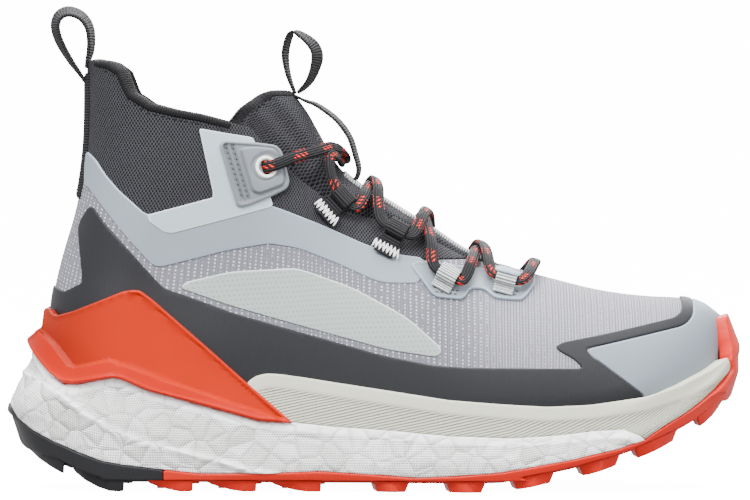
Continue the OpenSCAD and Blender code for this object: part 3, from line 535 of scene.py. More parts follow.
# ------------------------------------------------------------------ the sole unit's shape
SOLE_LATERAL = [[-153, 42], [-110, 43.5], [-60, 43], [-10, 45], [30, 52], [65, 57], [90, 57],
                [115, 54], [135, 49], [154, 43]]
SOLE_MEDIAL = [[-153, 42], [-110, 43], [-60, 38.5], [-20, 37.5], [10, 42], [40, 51], [65, 55.5],
               [90, 55.5], [115, 53.5], [135, 49.5], [154, 44]]
TREAD = arr([-153, 32], [-150, 26], [-147, 18], [-140, 12.8], [-131, 8], [-120, 3], [-112, 0.8],
            [-104, 0], [50, 0], [62, 2], [88, 7.5], [111.5, 15], [137, 27], [149.7, 39], [154, 50])
SHELF = [[-153, 33.5], [-145, 23], [-131, 12.5], [-112, 5], [-100, 4.4], [50, 4.4], [88, 11],
         [111.5, 18.5], [137, 30], [149, 44], [154, 53]]
BULGE = [[-153, 35], [-133, 38], [-110, 29], [-70, 16], [-49, 12], [0, 12], [50, 12.5],
         [88, 17], [112, 25], [137, 39], [154, 57]]
WAIST = [[-153, 62], [-136, 50], [-120, 42], [-60, 34], [-36, 29], [7, 26], [57, 23.5],
         [91, 26], [112, 30], [137, 45], [154, 60]]
LIP = [[-153, 68], [-130, 66], [-100, 52], [-60, 40], [0, 36], [60, 30], [100, 34], [137, 52],
       [154, 66]]
BRIM = [[-153, 80], [-137, 79], [-101, 86], [-60, 56], [-45, 50], [7, 44], [53, 38], [90, 38],
        [127, 46], [145, 74], [154, 76]]
# the sole unit's rings from the tread up: height, heel end, toe end, and how far outside
# SOLE_LATERAL and SOLE_MEDIAL
RINGS = [[TREAD, -149, 150, -3.5], [SHELF, -152, 152.5, -0.6], [BULGE, -152.9, 153.9, 1.6],
         [WAIST, -145, 154, -1.6], [LIP, -143, 152.5, -2.2], [BRIM, -137.8, 149, -3.4]]
FOAM_LOW = arr([-153.2, 36], [-148.9, 29.8], [-141.9, 24.7], [-134.2, 20.6], [-123.7, 16.3],
               [-113.9, 12.9], [-104.8, 11.2], [-95, 10], [-73, 7.4], [-49, 7.6],
               [-22, 8.5], [0, 7.2], [15, 6], [35, 6.8], [53, 8.5], [83, 14], [102, 18.3], [113, 22])
RIM_LOW = arr([-33.6, 29], [-17, 27.3], [7, 25.8], [31, 23.7], [57, 23], [76, 24.2], [91, 26],
              [104, 26.6], [110, 24], [113, 22])
RIM_TOP = arr([-53.6, 45.4], [-49.4, 48.4], [-45, 49.4], [-37, 49], [-17, 45.8], [7, 42.2],
              [31, 38.6], [53, 37], [72, 36], [90, 36.8], [113, 40], [127, 44.3], [141, 50.6],
              [148.5, 55.2])
CLIP_TOP = arr([-144, 62.8], [-141, 65.4], [-139, 68], [-138.4, 75.2], [-136.8, 76.4],
               [-135, 73.8], [-133, 73.2], [-126, 75.2], [-105, 83.6], [-101, 84.2], [-97.7, 84],
               [-93, 80.6], [-79.6, 68.9], [-66, 57.0], [-57, 48.9], [-48, 41.0], [-34, 28.9])
CLIP_LOW = arr([-34, 28.7], [-48, 29.6], [-68, 35], [-94.4, 42.3], [-105.8, 47.2], [-109, 47.7],
               [-115.7, 46.4], [-124.3, 44.7], [-130, 44.8], [-134.4, 48.5], [-137.8, 52.7],
               [-141.6, 57.7], [-143.8, 61.3])
BUMPER = arr([113.1, 22.2], [115.7, 24.1], [122.7, 28.3], [129.7, 32], [136.7, 36.7], [143.7, 42.3],
             [147.9, 46.5], [150.2, 49.9], [150.4, 52.3], [150.4, 54.5], [150.2, 57], [150.2, 60],
             [149.6, 64], [149, 69], [148.6, 72], [149.6, 73.4], [170, 73.4], [170, -10], [113.1, -10])


def ring_half(ring, x, side):
    """Half width of one of the sole's rings at a place along it"""
    _, back, front, wider = ring
    half = np.where(side < 0, curve(SOLE_LATERAL, x), curve(SOLE_MEDIAL, x)) + wider
    return half * (cap((x - back) / 40) * cap((front - x) / 60, TOE_POWER))


def ring_line(ring, t, side):
    high, back, front, _ = ring
    x = back + (front - back) * t
    return np.stack([x, curve(MIDDLE, x) + side * ring_half(ring, x, side), curve(high, x)], -1)


NT, NV = ((440, 70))
there = bunched(NT)
t_all = np.concatenate([there, there[-2:0:-1]])
s_all = np.concatenate([-np.ones(NT + 1), np.ones(NT - 1)])
rings = np.stack([ring_line(ring, t_all, s_all) for ring in RINGS])
SOLE = grid_skin(spline(rings, np.linspace(0, len(RINGS) - 1, NV + 1)).swapaxes(0, 1), closed=True)
LX, _, LZ = SOLE.p.T

# ------------------------------------------------------------------ materials
# how the picture's tone curve shows light, and how much light falls on the boot
STOPS = np.linspace(-12.4, 4.0, 400)
SHOWN = np.polyval([15.5, -40.14, 31.96, -6.868, 0.4298, 0.1191, -0.00232], (STOPS + 12.474) / 16.5)
BLEND = arr([0.8425, 0.0784, 0.0792], [0.0423, 0.8785, 0.0792], [0.0424, 0.0784, 0.8791])
LIT, HAZE = 3.2, 0.006


def srgb(*rgb, by=1.0, plus=0.0):
    """The base colour that the lit side shows on screen as this colour, made lighter or darker"""
    shown = np.minimum(255, np.array(rgb) * by + plus) / 255
    light = 2 ** np.interp(BLEND @ shown, SHOWN, STOPS)
    return tuple(np.clip(np.linalg.solve(BLEND, light) / LIT - HAZE, 0.002, 0.88)) + (1,)


class Material:
    """One procedural material. Sockets and numbers can be mixed in every call."""

    def __init__(self, name, rough, **inputs):
        self.made = bpy.data.materials.new(name)
        self.made.use_nodes = True
        self.tree = self.made.node_tree
        self.shader = self.tree.nodes["Principled BSDF"]
        inputs = {"Roughness": rough, "Specular_IOR_Level": 0.15, **inputs}
        for key, value in inputs.items():
            self.shader.inputs[key.replace("_", " ")].default_value = value
        coords = self.node("ShaderNodeTexCoord")
        self.mm = self.scaled_mm(coords.outputs["Object"])
        self.u, self.v, _ = self.split(coords.outputs["UV"])

    def node(self, kind, **settings):
        n = self.tree.nodes.new(kind)
        for key, value in settings.items():
            setattr(n, key, value)
        return n

    def put(self, socket, value):
        if isinstance(value, bpy.types.NodeSocket):
            self.tree.links.new(value, socket)
        else:
            socket.default_value = value

    def scaled_mm(self, metres):
        n = self.node("ShaderNodeVectorMath", operation="SCALE")
        self.put(n.inputs[0], metres)
        n.inputs["Scale"].default_value = 1000
        return n.outputs[0]

    def split(self, vector):
        n = self.node("ShaderNodeSeparateXYZ")
        self.put(n.inputs[0], vector)
        return n.outputs

    def math(self, op, *values):
        n = self.node("ShaderNodeMath", operation=op)
        for socket, value in zip(n.inputs, values):
            self.put(socket, value)
        return n.outputs[0]

    def add(self, a, b):
        return self.math("ADD", a, b)

    def minus(self, a, b):
        return self.math("SUBTRACT", a, b)

    def times(self, a, b):
        return self.math("MULTIPLY", a, b)

    def line(self, a, by, plus):
        """a times by, plus plus"""
        return self.math("MULTIPLY_ADD", a, by, plus)

    def saw(self, a, pitch):
        """0 to 1 over each pitch"""
        return self.math("FRACT", self.times(a, 1 / pitch))

    def wave(self, a, pitch, shift=0.0):
        """0 to 1 and back over each pitch"""
        return self.line(self.math("SINE", self.line(a, 2 * math.pi / pitch, shift)), 0.5, 0.5)

    def grid(self, pitch):
        """Bumps along u and v"""
        return self.times(self.wave(self.u, pitch), self.wave(self.v, pitch))

    def ramp(self, a, low, high, to=(0.0, 1.0)):
        n = self.node("ShaderNodeMapRange", interpolation_type="SMOOTHSTEP")
        for socket, value in zip(n.inputs, (a, low, high, *to)):
            self.put(socket, value)
        return n.outputs[0]

    def fall(self, a, low, high):
        """A ramp from 1 down to 0"""
        return self.ramp(a, low, high, (1.0, 0.0))

    def noise(self, size, detail=3.0):
        n = self.node("ShaderNodeTexNoise")
        self.put(n.inputs["Vector"], self.mm)
        n.inputs["Scale"].default_value = 1 / size
        n.inputs["Detail"].default_value = detail
        return n.outputs["Fac"]

    def voronoi(self, size, feature="F1"):
        n = self.node("ShaderNodeTexVoronoi", feature=feature)
        self.put(n.inputs["Vector"], self.mm)
        n.inputs["Scale"].default_value = 1 / size
        return n.outputs

    def value_of(self, word):
        return self.node("ShaderNodeAttribute", attribute_name=word).outputs["Fac"]

    def mix(self, share, a, b):
        n = self.node("ShaderNodeMix", data_type="RGBA")
        for word, value in (("Factor", share), ("A", a), ("B", b)):
            self.put(n.inputs[word], value)
        return n.outputs["Result"]

    def mottled(self, rgb, share, size):
        """A colour with faint lighter and darker patches"""
        dark, light = (tuple(min(1, c * k) for c in srgb(*rgb)[:3]) + (1,) for k in (1 - share, 1 + share))
        return self.mix(self.noise(size), dark, light)

    def finish(self, colour, height=None, deep=0.3, strength=1.0, rough=None):
        """Sets the colour, and the bump's height and depth in mm"""
        self.put(self.shader.inputs["Base Color"], colour)
        if rough is not None:
            self.put(self.shader.inputs["Roughness"], rough)
        if height is not None:
            bump = self.node("ShaderNodeBump")
            bump.inputs["Strength"].default_value = strength
            bump.inputs["Distance"].default_value = deep * 0.001
            self.put(bump.inputs["Height"], height)
            self.put(self.shader.inputs["Normal"], bump.outputs[0])
        return self.made


def spacer_mesh(name, strand, pitch, flat):
    """Open 3D mesh: diagonal strands over dark holes"""
    m = Material(name, 0.75)
    across = m.times(m.v, flat)
    knots = m.times(m.wave(m.add(m.u, across), pitch), m.wave(m.minus(m.u, across), pitch))
    cover = m.fall(knots, 0.1, 0.3)
    return m.finish(m.mix(cover, srgb(20, 20, 22), m.mottled(strand, 0.25, 0.5)), cover, 0.6, 0.9)


def ripstop_cloth(name):
    """Fine ribs with rows of dashes, which fade towards the toe"""
    m = Material(name, 0.7)
    column = 2.7
    crooked = m.line(m.noise(9, 2), 0.5, m.u)
    toe = m.ramp(m.u, 205, 225)
    line = m.fall(m.math("ABSOLUTE", m.add(m.saw(crooked, column), -0.5)), 0.08, 0.2)
    stagger = m.times(m.math("FLOOR", m.times(crooked, 1 / column)), 1.7)
    dash = m.ramp(m.wave(m.add(m.v, stagger), 1.5), 0.3, 0.6)
    dash = m.times(dash, m.ramp(m.noise(1.7, 2), 0.36, 0.54))
    thread = m.times(m.times(line, dash), m.minus(1.0, m.times(toe, 0.7)))
    rib = m.wave(crooked, 1.28)
    weave = m.grid(0.85)
    ground = m.mix(m.times(rib, m.line(toe, 0.5, 0.12)), m.mottled((166, 166, 172), 0.3, 0.55),
                   srgb(205, 205, 209))
    ground = m.mix(m.times(weave, 0.3), ground, srgb(140, 141, 147))
    height = m.add(m.add(m.times(thread, 0.8), m.times(rib, 0.4)), m.times(weave, -0.25))
    return m.finish(m.mix(thread, ground, srgb(216, 216, 220)), height, 0.25, 0.9)


def film_sheet(name, rgb, rough=0.42, grain=0.25, dots=False, twill=False):
    """Thin welded film, which shows a little of the weave under it"""
    m = Material(name, rough, Specular_IOR_Level=0.25)
    colour = m.mottled(rgb, 0.035, 14)
    height = m.times(m.noise(0.7, 2), grain)
    if twill:
        rib = m.wave(m.add(m.u, m.times(m.v, 0.12)), 1.15)
        height = m.add(height, m.times(rib, 0.35))
        colour = m.mix(m.times(rib, 0.22), colour, srgb(*rgb, by=1.22))
    if dots:
        rows = m.wave(m.add(m.u, m.times(m.v, 0.55)), 2.3)
        columns = m.wave(m.minus(m.v, m.times(m.u, 0.1)), 2.1)
        hole = m.ramp(m.times(rows, columns), 0.62, 0.8)
        height = m.add(height, m.times(hole, -0.8))
        colour = m.mix(m.times(hole, 0.35), colour, srgb(120, 122, 122))
    edge = m.fall(m.value_of("edge"), 0.15, 0.75)
    colour = m.mix(m.times(edge, 0.4), colour, srgb(*rgb, by=1.12, plus=8))
    return m.finish(colour, height, 0.12, 0.6, m.line(m.noise(3), 0.14, rough - 0.07))


def rubber(name, rgb, rough):
    """Matt rubber with scuffed patches"""
    m = Material(name, rough, Specular_IOR_Level=0.2)
    scuff = m.ramp(m.noise(2.2, 6), 0.55, 0.75)
    colour = m.mix(m.times(scuff, 0.18), m.mottled(rgb, 0.06, 12), srgb(*rgb, by=1.1, plus=10))
    return m.finish(colour, m.add(m.noise(0.6, 2), m.times(scuff, 0.4)), 0.07, 0.6,
                    m.line(scuff, 0.18, rough - 0.06))


def clip_shell(name):
    """Moulded shell: edge holds the distance above the crease along its foot. Painted shade darkens it
    towards the heel, and a painted highlight lightens the foot below the crease.
    """
    m = Material(name, 0.36, Specular_IOR_Level=0.08)
    # painted shade: the shell darkens towards the heel, as if that side faced away from the light
    heel = m.ramp(m.split(m.mm)["X"], -152, -100)
    face = m.mix(heel, srgb(190, 82, 42), m.mottled((224, 102, 50), 0.05, 20))
    # painted highlight: the foot below the crease is a lighter, deeper orange
    low = m.fall(m.value_of("edge"), -1.6, 0.1)
    return m.finish(m.mix(low, face, srgb(228, 98, 42)), m.noise(0.8, 2), 0.04, 0.5,
                    m.line(m.noise(5), 0.16, 0.3))


def bead_foam(name):
    """Fused beads: edge holds the distance from the foam's top line, ridge is 1 along its ridge, where a
    painted highlight leaves the foam at its lightest and without dots. Painted shade darkens the creases
    between beads.
    """
    m = Material(name, 0.62, Specular_IOR_Level=0.12)
    bead = 8
    lower = m.ramp(m.value_of("edge"), 3.0, 4.4)
    tone = m.split(m.voronoi(bead)["Color"])["X"]
    gap = m.voronoi(bead, "DISTANCE_TO_EDGE")["Distance"]
    pillow = m.math("SQRT", m.ramp(gap, 0.0, 0.3))
    crease = m.fall(gap, 0.0, 0.12)
    # painted highlight along the ridge: there the beads take their lightest tone and lose their dots
    outside_ridge_highlight = m.minus(1.0, m.value_of("ridge"))
    fine = m.times(m.ramp(m.grid(1.05), 0.1, 0.5), m.times(lower, outside_ridge_highlight))
    shade = m.times(m.times(tone, outside_ridge_highlight), m.line(lower, 0.5, 0.1))
    colour = m.mix(shade, srgb(252, 254, 253), srgb(212, 214, 210))
    colour = m.mix(m.times(fine, 0.75), colour, srgb(178, 180, 177))
    # painted shade in the creases between beads
    colour = m.mix(m.times(crease, 0.12), colour, srgb(180, 182, 180))
    height = m.add(m.add(m.times(pillow, 1.7), m.times(tone, 0.35)), m.times(fine, -0.3))
    return m.finish(colour, height, 0.55, 0.9)


def ribbed_rim(name):
    """Pale foam, ribbed below the smooth strip along its top"""
    m = Material(name, 0.6, Specular_IOR_Level=0.3)
    low = m.ramp(m.value_of("edge"), 5.2, 7.6)
    rib = m.times(m.wave(m.minus(m.v, m.times(m.u, 0.22)), 1.25), low)
    colour = m.mix(m.times(rib, 0.3), m.mottled((214, 214, 208), 0.02, 8), srgb(168, 169, 162))
    return m.finish(colour, m.add(m.times(rib, -1.0), m.times(m.noise(0.8, 2), 0.12)), 0.5, 0.9)


def webbing(name, rgb, pitch, dark=0.55):
    """Ribs across the band: u runs along it"""
    m = Material(name, 0.7)
    rib = m.wave(m.u, pitch)
    top = m.mix(m.noise(0.7), srgb(*rgb), srgb(*rgb, by=1.25, plus=6))
    colour = m.mix(m.ramp(rib, 0.1, 0.8), srgb(*rgb, by=dark), top)
    return m.finish(colour, m.add(rib, m.times(m.wave(m.v, 0.8), 0.25)), 0.3, 0.9)


def knit(name, rgb):
    """Rib knit: u runs along the band"""
    m = Material(name, 0.8)
    slant = m.math("ABSOLUTE", m.add(m.saw(m.u, 1.0), -0.5))
    loop = m.wave(m.add(m.v, m.times(slant, 1.4)), 0.95)
    cover = m.times(m.ramp(m.wave(m.u, 1.0), 0.1, 0.7), m.line(loop, 0.5, 0.5))
    light = m.mottled([c * 1.2 for c in rgb], 0.18, 0.7)
    return m.finish(m.mix(cover, srgb(*rgb, by=0.6), light), cover, 0.35, 0.9)


def braid(name):
    """Oval braid: u runs along it, v round it in turns of 100. Groups of slanted flecks."""
    m = Material(name, 0.62)
    rib = m.wave(m.v, ROUND / 12)
    twist = m.wave(m.add(m.u, m.times(m.v, 0.12)), 0.9)
    grouped = m.math("LESS_THAN", m.saw(m.add(m.u, m.times(m.v, 0.03)), 15.5), 0.40)
    dash = m.math("LESS_THAN", m.saw(m.add(m.u, m.times(m.v, -0.10)), 2.05), 0.42)
    lane = m.math("GREATER_THAN", m.wave(m.v, ROUND / 4, 1.1), 0.42)
    fleck = m.times(m.times(grouped, dash), lane)
    ground = m.mix(m.ramp(rib, 0.05, 0.75), srgb(24, 24, 26), m.mottled((76, 76, 80), 0.15, 0.8))
    colour = m.mix(fleck, ground, m.mix(m.ramp(rib, 0.0, 0.5), srgb(190, 70, 42), srgb(250, 122, 84)))
    return m.finish(colour, m.add(rib, m.times(twist, 0.35)), 0.35, 0.9)


def woven(name, rgb, pitch, rough=0.8):
    """Plain weave"""
    m = Material(name, rough)
    over = m.grid(pitch)
    colour = m.mix(over, m.mottled(rgb, 0.12, 1.5), srgb(*rgb, by=0.6))
    return m.finish(colour, over, 0.25, 0.7)


# v once round a braided cord
ROUND = 100
# each material's short name, its slot on the part, and how it is made
MATERIALS = (
    ("mesh", "mesh", spacer_mesh("mesh", (114, 114, 120), 1.5, 0.72)),
    ("tongue", "mesh", spacer_mesh("tongue_mesh", (110, 110, 116), 1.4, 0.7)),
    ("ripstop", "ripstop", ripstop_cloth("ripstop")),
    ("charcoal", "charcoal_film", film_sheet("charcoal_film", (66, 67, 72), 0.55, twill=True)),
    ("film", "grey_film", film_sheet("grey_film", (182, 188, 193))),
    ("cap", "grey_film", film_sheet("toe_film", (178, 185, 190), 0.5)),
    ("pale", "pale_film", film_sheet("pale_film", (203, 209, 212), 0.45, 0.5)),
    ("panel", "panel_film", film_sheet("panel_film", (197, 202, 200), 0.5, 0.3, dots=True)),
    ("patch", "grey_film", film_sheet("patch_film", (168, 172, 176), 0.4)),
    ("clip", "clip_plastic", clip_shell("clip_plastic")),
    ("tread", "tread_rubber", rubber("tread_rubber", (232, 100, 66), 0.5)),
    ("heel", "heel_rubber", rubber("heel_rubber", (76, 76, 80), 0.5)),
    ("rim", "rim_foam", ribbed_rim("rim_foam")),
    ("foam", "foam", bead_foam("bead_foam")),
    ("webbing", "dark_webbing", webbing("dark_webbing", (74, 74, 78), 1.15)),
    ("light_webbing", "light_webbing", webbing("light_webbing", (190, 194, 195), 1.1, 0.86)),
    ("knit", "lining_knit", knit("collar_knit", (62, 62, 66))),
    ("lining", "lining_knit", spacer_mesh("lining_mesh", (62, 62, 67), 1.6, 1.0)),
    ("binding", "lining_knit", woven("edge_binding", (66, 66, 70), 1.2)),
    ("lace", "lace_braid", braid("lace_braid")),
    ("tip", "lace_tip_film", film_sheet("tip_film", (42, 42, 46), 0.3)),
    ("thread", "white_thread", woven("white_thread", (238, 238, 236), 0.9, 0.6)),
    ("grey_thread", "white_thread", woven("grey_thread", (150, 154, 158), 0.9, 0.6)),
    ("dark_thread", "white_thread", woven("dark_thread", (92, 92, 96), 0.9, 0.7)),
    ("ring", "eyelet_plastic", film_sheet("ring_plastic", (226, 227, 222), 0.35, 0.1)),
    ("insole", "insole_foam", woven("insole_fabric", (54, 54, 60), 1.3)),
    ("board", "board_fabric", woven("board_fabric", (170, 170, 165), 1.4)),
    ("stiffener", "stiffener", film_sheet("pressed_sheet", (214, 214, 208), 0.6)),
    ("padding", "padding", woven("padding", (92, 92, 97), 1.0)),
)
M = {key: made_one for key, _, made_one in MATERIALS}


# ------------------------------------------------------------------ bands, cords and stitches
def band_section(w, t, steps=4):
    """Outline of a flat band with round edges, from its middle"""
    a = np.radians(np.linspace(-90, 90, steps * 2 + 1))
    right = np.stack([w / 2 - t / 2 + t / 2 * np.cos(a), t / 2 * np.sin(a)], 1)
    mid = np.linspace(1, -1, 9)[1:-1, None] * (w / 2 - t / 2)
    top = np.concatenate([mid, np.full_like(mid, t / 2)], 1)
    return np.concatenate([right, top, -right, -top])


def oval_section(w, t, n=20, power=2.0):
    a = 2 * np.pi * np.arange(n) / n
    c, s = np.cos(a), np.sin(a)
    return np.stack([size / 2 * np.sign(k) * abs(k) ** (2 / power) for size, k in ((w, c), (t, s))], 1)


def sweep(points, across, section, turns=None, scale=None):
    """Carries a section along a line; across is its width direction. uv: length, and way round."""
    p = np.asarray(points, float)
    n, k = len(p), len(section)
    t = unit(np.gradient(p, axis=0))
    across = np.broadcast_to(np.asarray(across, float), p.shape)
    b = unit(across - (across * t).sum(1, keepdims=True) * t)
    c = np.cross(t, b)
    size = np.ones(n) if scale is None else np.asarray(scale, float)
    v = p[:, None] + size[:, None, None] * (b[:, None] * section[:, :1] + c[:, None] * section[:, 1:])
    length, way = run_of(p), run_of(np.concatenate([section, section[:1]]))
    if turns:
        way = way / way[-1] * turns
    faces, uv = [], []
    for i in range(n - 1):
        for a in range(k):
            d = (a + 1) % k
            faces.append([i * k + a, (i + 1) * k + a, (i + 1) * k + d, i * k + d])
            uv += [(length[j], way[e]) for j, e in ((i, a), (i + 1, a), (i + 1, a + 1), (i, a + 1))]
    # the ends are closed by a fan round their middle
    for end, centre, turn in ((0, n * k, 1), (n - 1, n * k + 1, -1)):
        for a in range(k):
            faces.append([centre, end * k + a, end * k + (a + 1) % k][::turn])
            uv += [(length[end], way[a])] * 3
    return np.concatenate([v.reshape(-1, 3), v[[0, -1]].mean(1)]), faces, np.array(uv)


def tapered(n, over, to):
    """Sizes along a line whose ends are rounded off"""
    q = np.minimum(np.arange(n), np.arange(n)[::-1]) / over
    return to + (1 - to) * round_over(np.clip(q, 0, 1))


def stitch(a, b, normal, r):
    """One thread that rises out of the fabric and goes back into it"""
    q = np.linspace(0, 1, 6)[:, None]
    line = a + (b - a) * q + normal * (np.sin(np.pi * q) * r * 1.1 - r * 0.5)
    return sweep(line, np.cross(b - a, normal), oval_section(r * 2, r * 2, 6), scale=tapered(6, 1.6, 0.5))


def stitched(line, side, height, pitch, share, r):
    """A row of stitches along a line seen from the side, at a height over the upper"""
    seg = run_of(line)
    starts = np.arange(0, seg[-1] - pitch * share, pitch)
    (a, n), (b, _) = [(p + up * height, up) for p, _, up in
                      (on_side(np.interp(at, seg, line[:, 0]), np.interp(at, seg, line[:, 1]), side)
                       for at in (starts, starts + pitch * share))]
    return [stitch(x, y, z, r) for x, y, z in zip(a, b, n)]


# ------------------------------------------------------------------ lace, the height of what holds it
LACE_W, LACE_T, WEB_T, LOOP_W = 5.0, 2.4, 1.2, 8.6
LACE_LOW = 1.6 + LACE_T / 2
LACE_HIGH = LACE_LOW + LACE_T + 0.3
LACE_LOOP = 1.44 + 0.3 + WEB_T + 1.2 + LACE_T / 2
EYELET = (-49.6, 0.55)
LOOPS = [(-15.3, 0.38), (8.2, 0.375), (29.9, 0.47), (54.4, 0.36)]


def strand(s, h):
    """From the tip beside the insole, up to the eyelet and on to the middle of the vamp, as
    (station, w, height)"""
    o, e = LACE_LOOP, EYELET[1]
    return [(105, s * 0.9225, -8), (85, s * 0.931, -8), (65, s * 0.939, -8), (45, s * 0.9455, -8),
            (25, s * 0.952, -8), (5, s * 0.959, -8), (-15, s * 0.965, -8), (-36, s * 0.969, -8),
            (-46, s * 0.966, -8), (-50.5, s * 0.95, -8), (-51.5, s * 0.92, -8), (-51.5, s * 0.86, -7.6),
            (-51.2, s * 0.78, -6.8), (-51, s * 0.71, -5.8), (-50.6, s * 0.63, -5.8),
            (-49.7, s * (e + 0.006), -5.9), (-49.6, s * e, -3), (-49.6, s * e, 0), (-49.6, s * e, 3.2),
            (-46, s * 0.53, 5.2), (-39.2, s * 0.482, 5.6), (-32.9, s * 0.428, 5.8),
            (-27.2, s * 0.344, LACE_HIGH), (-22, s * 0.22, h), (-18.2, s * 0.09, h), (-16.4, 0, h),
            (-16.6, -s * 0.13, h), (-20, -s * 0.23, o), (-22.7, -s * 0.3, o), (-21.1, -s * 0.375, o),
            (-15.3, -s * 0.38, o), (-9.5, -s * 0.375, o), (-6.6, -s * 0.3, o), (-4.4, -s * 0.16, h),
            (-2.4, 0, h), (-0.8, s * 0.15, h), (0.2, s * 0.29, o), (2.4, s * 0.37, o), (8.2, s * 0.375, o),
            (14, s * 0.37, o), (16.4, s * 0.29, o), (18.2, s * 0.14, h), (19.6, 0, h), (21, -s * 0.18, h),
            (22.4, -s * 0.37, o), (24.1, -s * 0.465, o), (29.9, -s * 0.47, o), (35.7, -s * 0.465, o),
            (38.8, -s * 0.35, o), (41.2, -s * 0.17, h), (43.2, 0, h), (45.2, s * 0.15, h),
            (46.8, s * 0.29, o), (48.6, s * 0.355, o), (54.4, s * 0.36, o), (60.2, s * 0.356, o),
            (64.4, s * 0.23, o), (66.6, 0, o)]


STRANDS = np.array(strand(-1, LACE_HIGH) + strand(1, LACE_LOW)[-2::-1])
TIP, LAST, LACE_STEP = 1.0, len(STRANDS) - 1, 0.125


def lace_line(u0, u1):
    """Places and upward directions along the lace, between two points of its route"""
    at = spline(STRANDS, np.linspace(u0, u1, int(np.ceil((u1 - u0) / LACE_STEP)) + 1))
    p, _, n = frame_at(at[:, 0], at[:, 1])
    return p + n * at[:, 2:], n


line, up = lace_line(TIP, LAST - TIP)
along = unit(np.gradient(line, axis=0))
lace = made("lace", [sweep(line, np.cross(up, along), oval_section(LACE_W, LACE_T, 20, 2.4), turns=ROUND)],
            M["lace"], "boot", "lace", sharp=0)
tips = []
for u0, u1 in ((0, TIP - 0.02), (LAST - TIP + 0.02, LAST)):
    tip_line, tip_up = lace_line(u0, u1)
    tip_along = unit(np.gradient(tip_line, axis=0))
    tips.append(sweep(tip_line, np.cross(tip_up, tip_along), oval_section(LACE_W - 1, LACE_T - 0.2, 14),
                      scale=tapered(len(tip_line), 2, 0.6)))
tips = made("lace_tips", tips, M["tip"], "boot", "lace_tips")


# ------------------------------------------------------------------ the upper's layers
THIN = dict(r=0.3, rows=())
in_pad = np.minimum(-73 - UX, UZ - 119)
S_BACKING = np.minimum(TRUNK, -in_pad)
overlay("shell", np.minimum(TRUNK, -S_MESH), -1.0, 0.0, M["ripstop"], "vamp_shell",
        "quarter_shell_lateral", "quarter_shell_medial", **THIN)
overlay("mesh_collar", np.minimum(TRUNK, S_MESH), -1.0, 0.1, M["mesh"], "collar_mesh", **THIN)
overlay("backing", S_BACKING, -2.7, -1.12, M["padding"], "foam_backing", **THIN)
overlay("lining", S_BACKING, -3.7, -2.85, M["lining"], **THIN)
quarter = inside(rounded(QUARTER, 4), UX, UZ)
overlay("rand", np.minimum(quarter, GAP - 1), 0.0, 0.8, M["charcoal"], "rand_overlay")
overlay("toe_cap", inside(rounded(CAP, 3), UX, UZ), 0.0, 0.7, M["cap"])
band = np.concatenate([MESH_LOW[1:-1] + [0, 0.4], BAND_LOW[::-1]])
S_BAND = np.minimum(inside(rounded(band, 3), UX, UZ), TRUNK)
S_PANEL = np.minimum(inside(rounded(PANEL, 0.9), UX, UZ), TRUNK)
S_SUPPORT = inside(rounded(SUPPORT, 5), UX, UZ)
S_WING = np.minimum(inside(rounded(WING, 2.5), UX, UZ), GAP)
S_PATCH = inside(rounded(PATCH, 2.5), UX, UZ)
# the pillow round the eyelet, and the sewn channels behind it and on the wing
PILLOW = arr([-57.6, 143.6], [-50, 144], [-42.4, 142.9], [-40.6, 140.2], [-37.6, 129], [-39, 126.8],
             [-48.9, 123.4], [-52, 125])
PATCH_ROWS = [arr([-62.4, 144.2], [-54.9, 121.4]), arr([-59.6, 143.9], [-52.7, 122])]
WING_ROWS = [arr([24.5, 84.6], [35.4, 82.9]), arr([25.4, 82.9], [35.2, 81.5]),
             arr([49.6, 83.8], [60.6, 82.2]), arr([50.4, 82.2], [60.2, 80.8])]
EYELET_HOLE = 3.7
EYELET_RING = arr([3.1, -4.6], [3.6, -4.6], [3.6, 2.2], [4.2, 2.5], [4.6, 2.8], [4.75, 3.15], [4.6, 3.5],
                  [4.25, 3.75], [3.8, 3.7], [3.35, 3.4], [3.1, 2.8])


def channels(rows, cut, deep, inner, outer):
    """Depth of sewn channels along some lines"""
    x, _, z = cut.p.T
    return sum(deep * (1 - smoothstep(abs(line_distance(row, x, z)), inner, outer)) for row in rows)


def patch_shape(cut, d):
    """A pillow with a dish round the eyelet, two channels and a raised border"""
    x, _, z = cut.p.T
    raised = 1.5 * smoothstep(inside(rounded(PILLOW, 3), x, z), 0.0, 1.3)
    raised -= 0.8 * (1 - smoothstep(np.hypot(x - EYE[0], z - EYE[2]), 4.6, 7.0)) * (raised > 0)
    return raised - channels(PATCH_ROWS, cut, 0.7, 0.4, 1.1) + 0.6 * (1 - smoothstep(d, 1.0, 1.7))


def wing_shape(cut, d):
    return 0.25 * (1 - smoothstep(d, 0.7, 1.3)) - channels(WING_ROWS, cut, 0.2, 0.3, 0.8)


def turned(profile, p, t, n, steps=48):
    """A profile of [radius, height] turned round the direction n"""
    across = np.cross(n, t)
    verts = np.concatenate([p + (t * np.cos(a) + across * np.sin(a)) * profile[:, :1] + n * profile[:, 1:]
                            for a in 2 * np.pi * np.arange(steps) / steps])
    k = len(profile)
    i = np.arange(steps * k).reshape(steps, k)
    i = np.concatenate([i, i[:1]])
    a, b, c, d = cells(np.concatenate([i, i[:, :1]], 1))
    return verts, np.stack([d, c, b, a], 1).tolist(), np.zeros((len(verts), 2))


def stitch_rows(name, lines, side, *settings):
    """Grey stitches along some lines; the settings are those of stitched"""
    made(name, sum((stitched(line, side, *settings) for line in lines), []), M["grey_thread"], "boot")


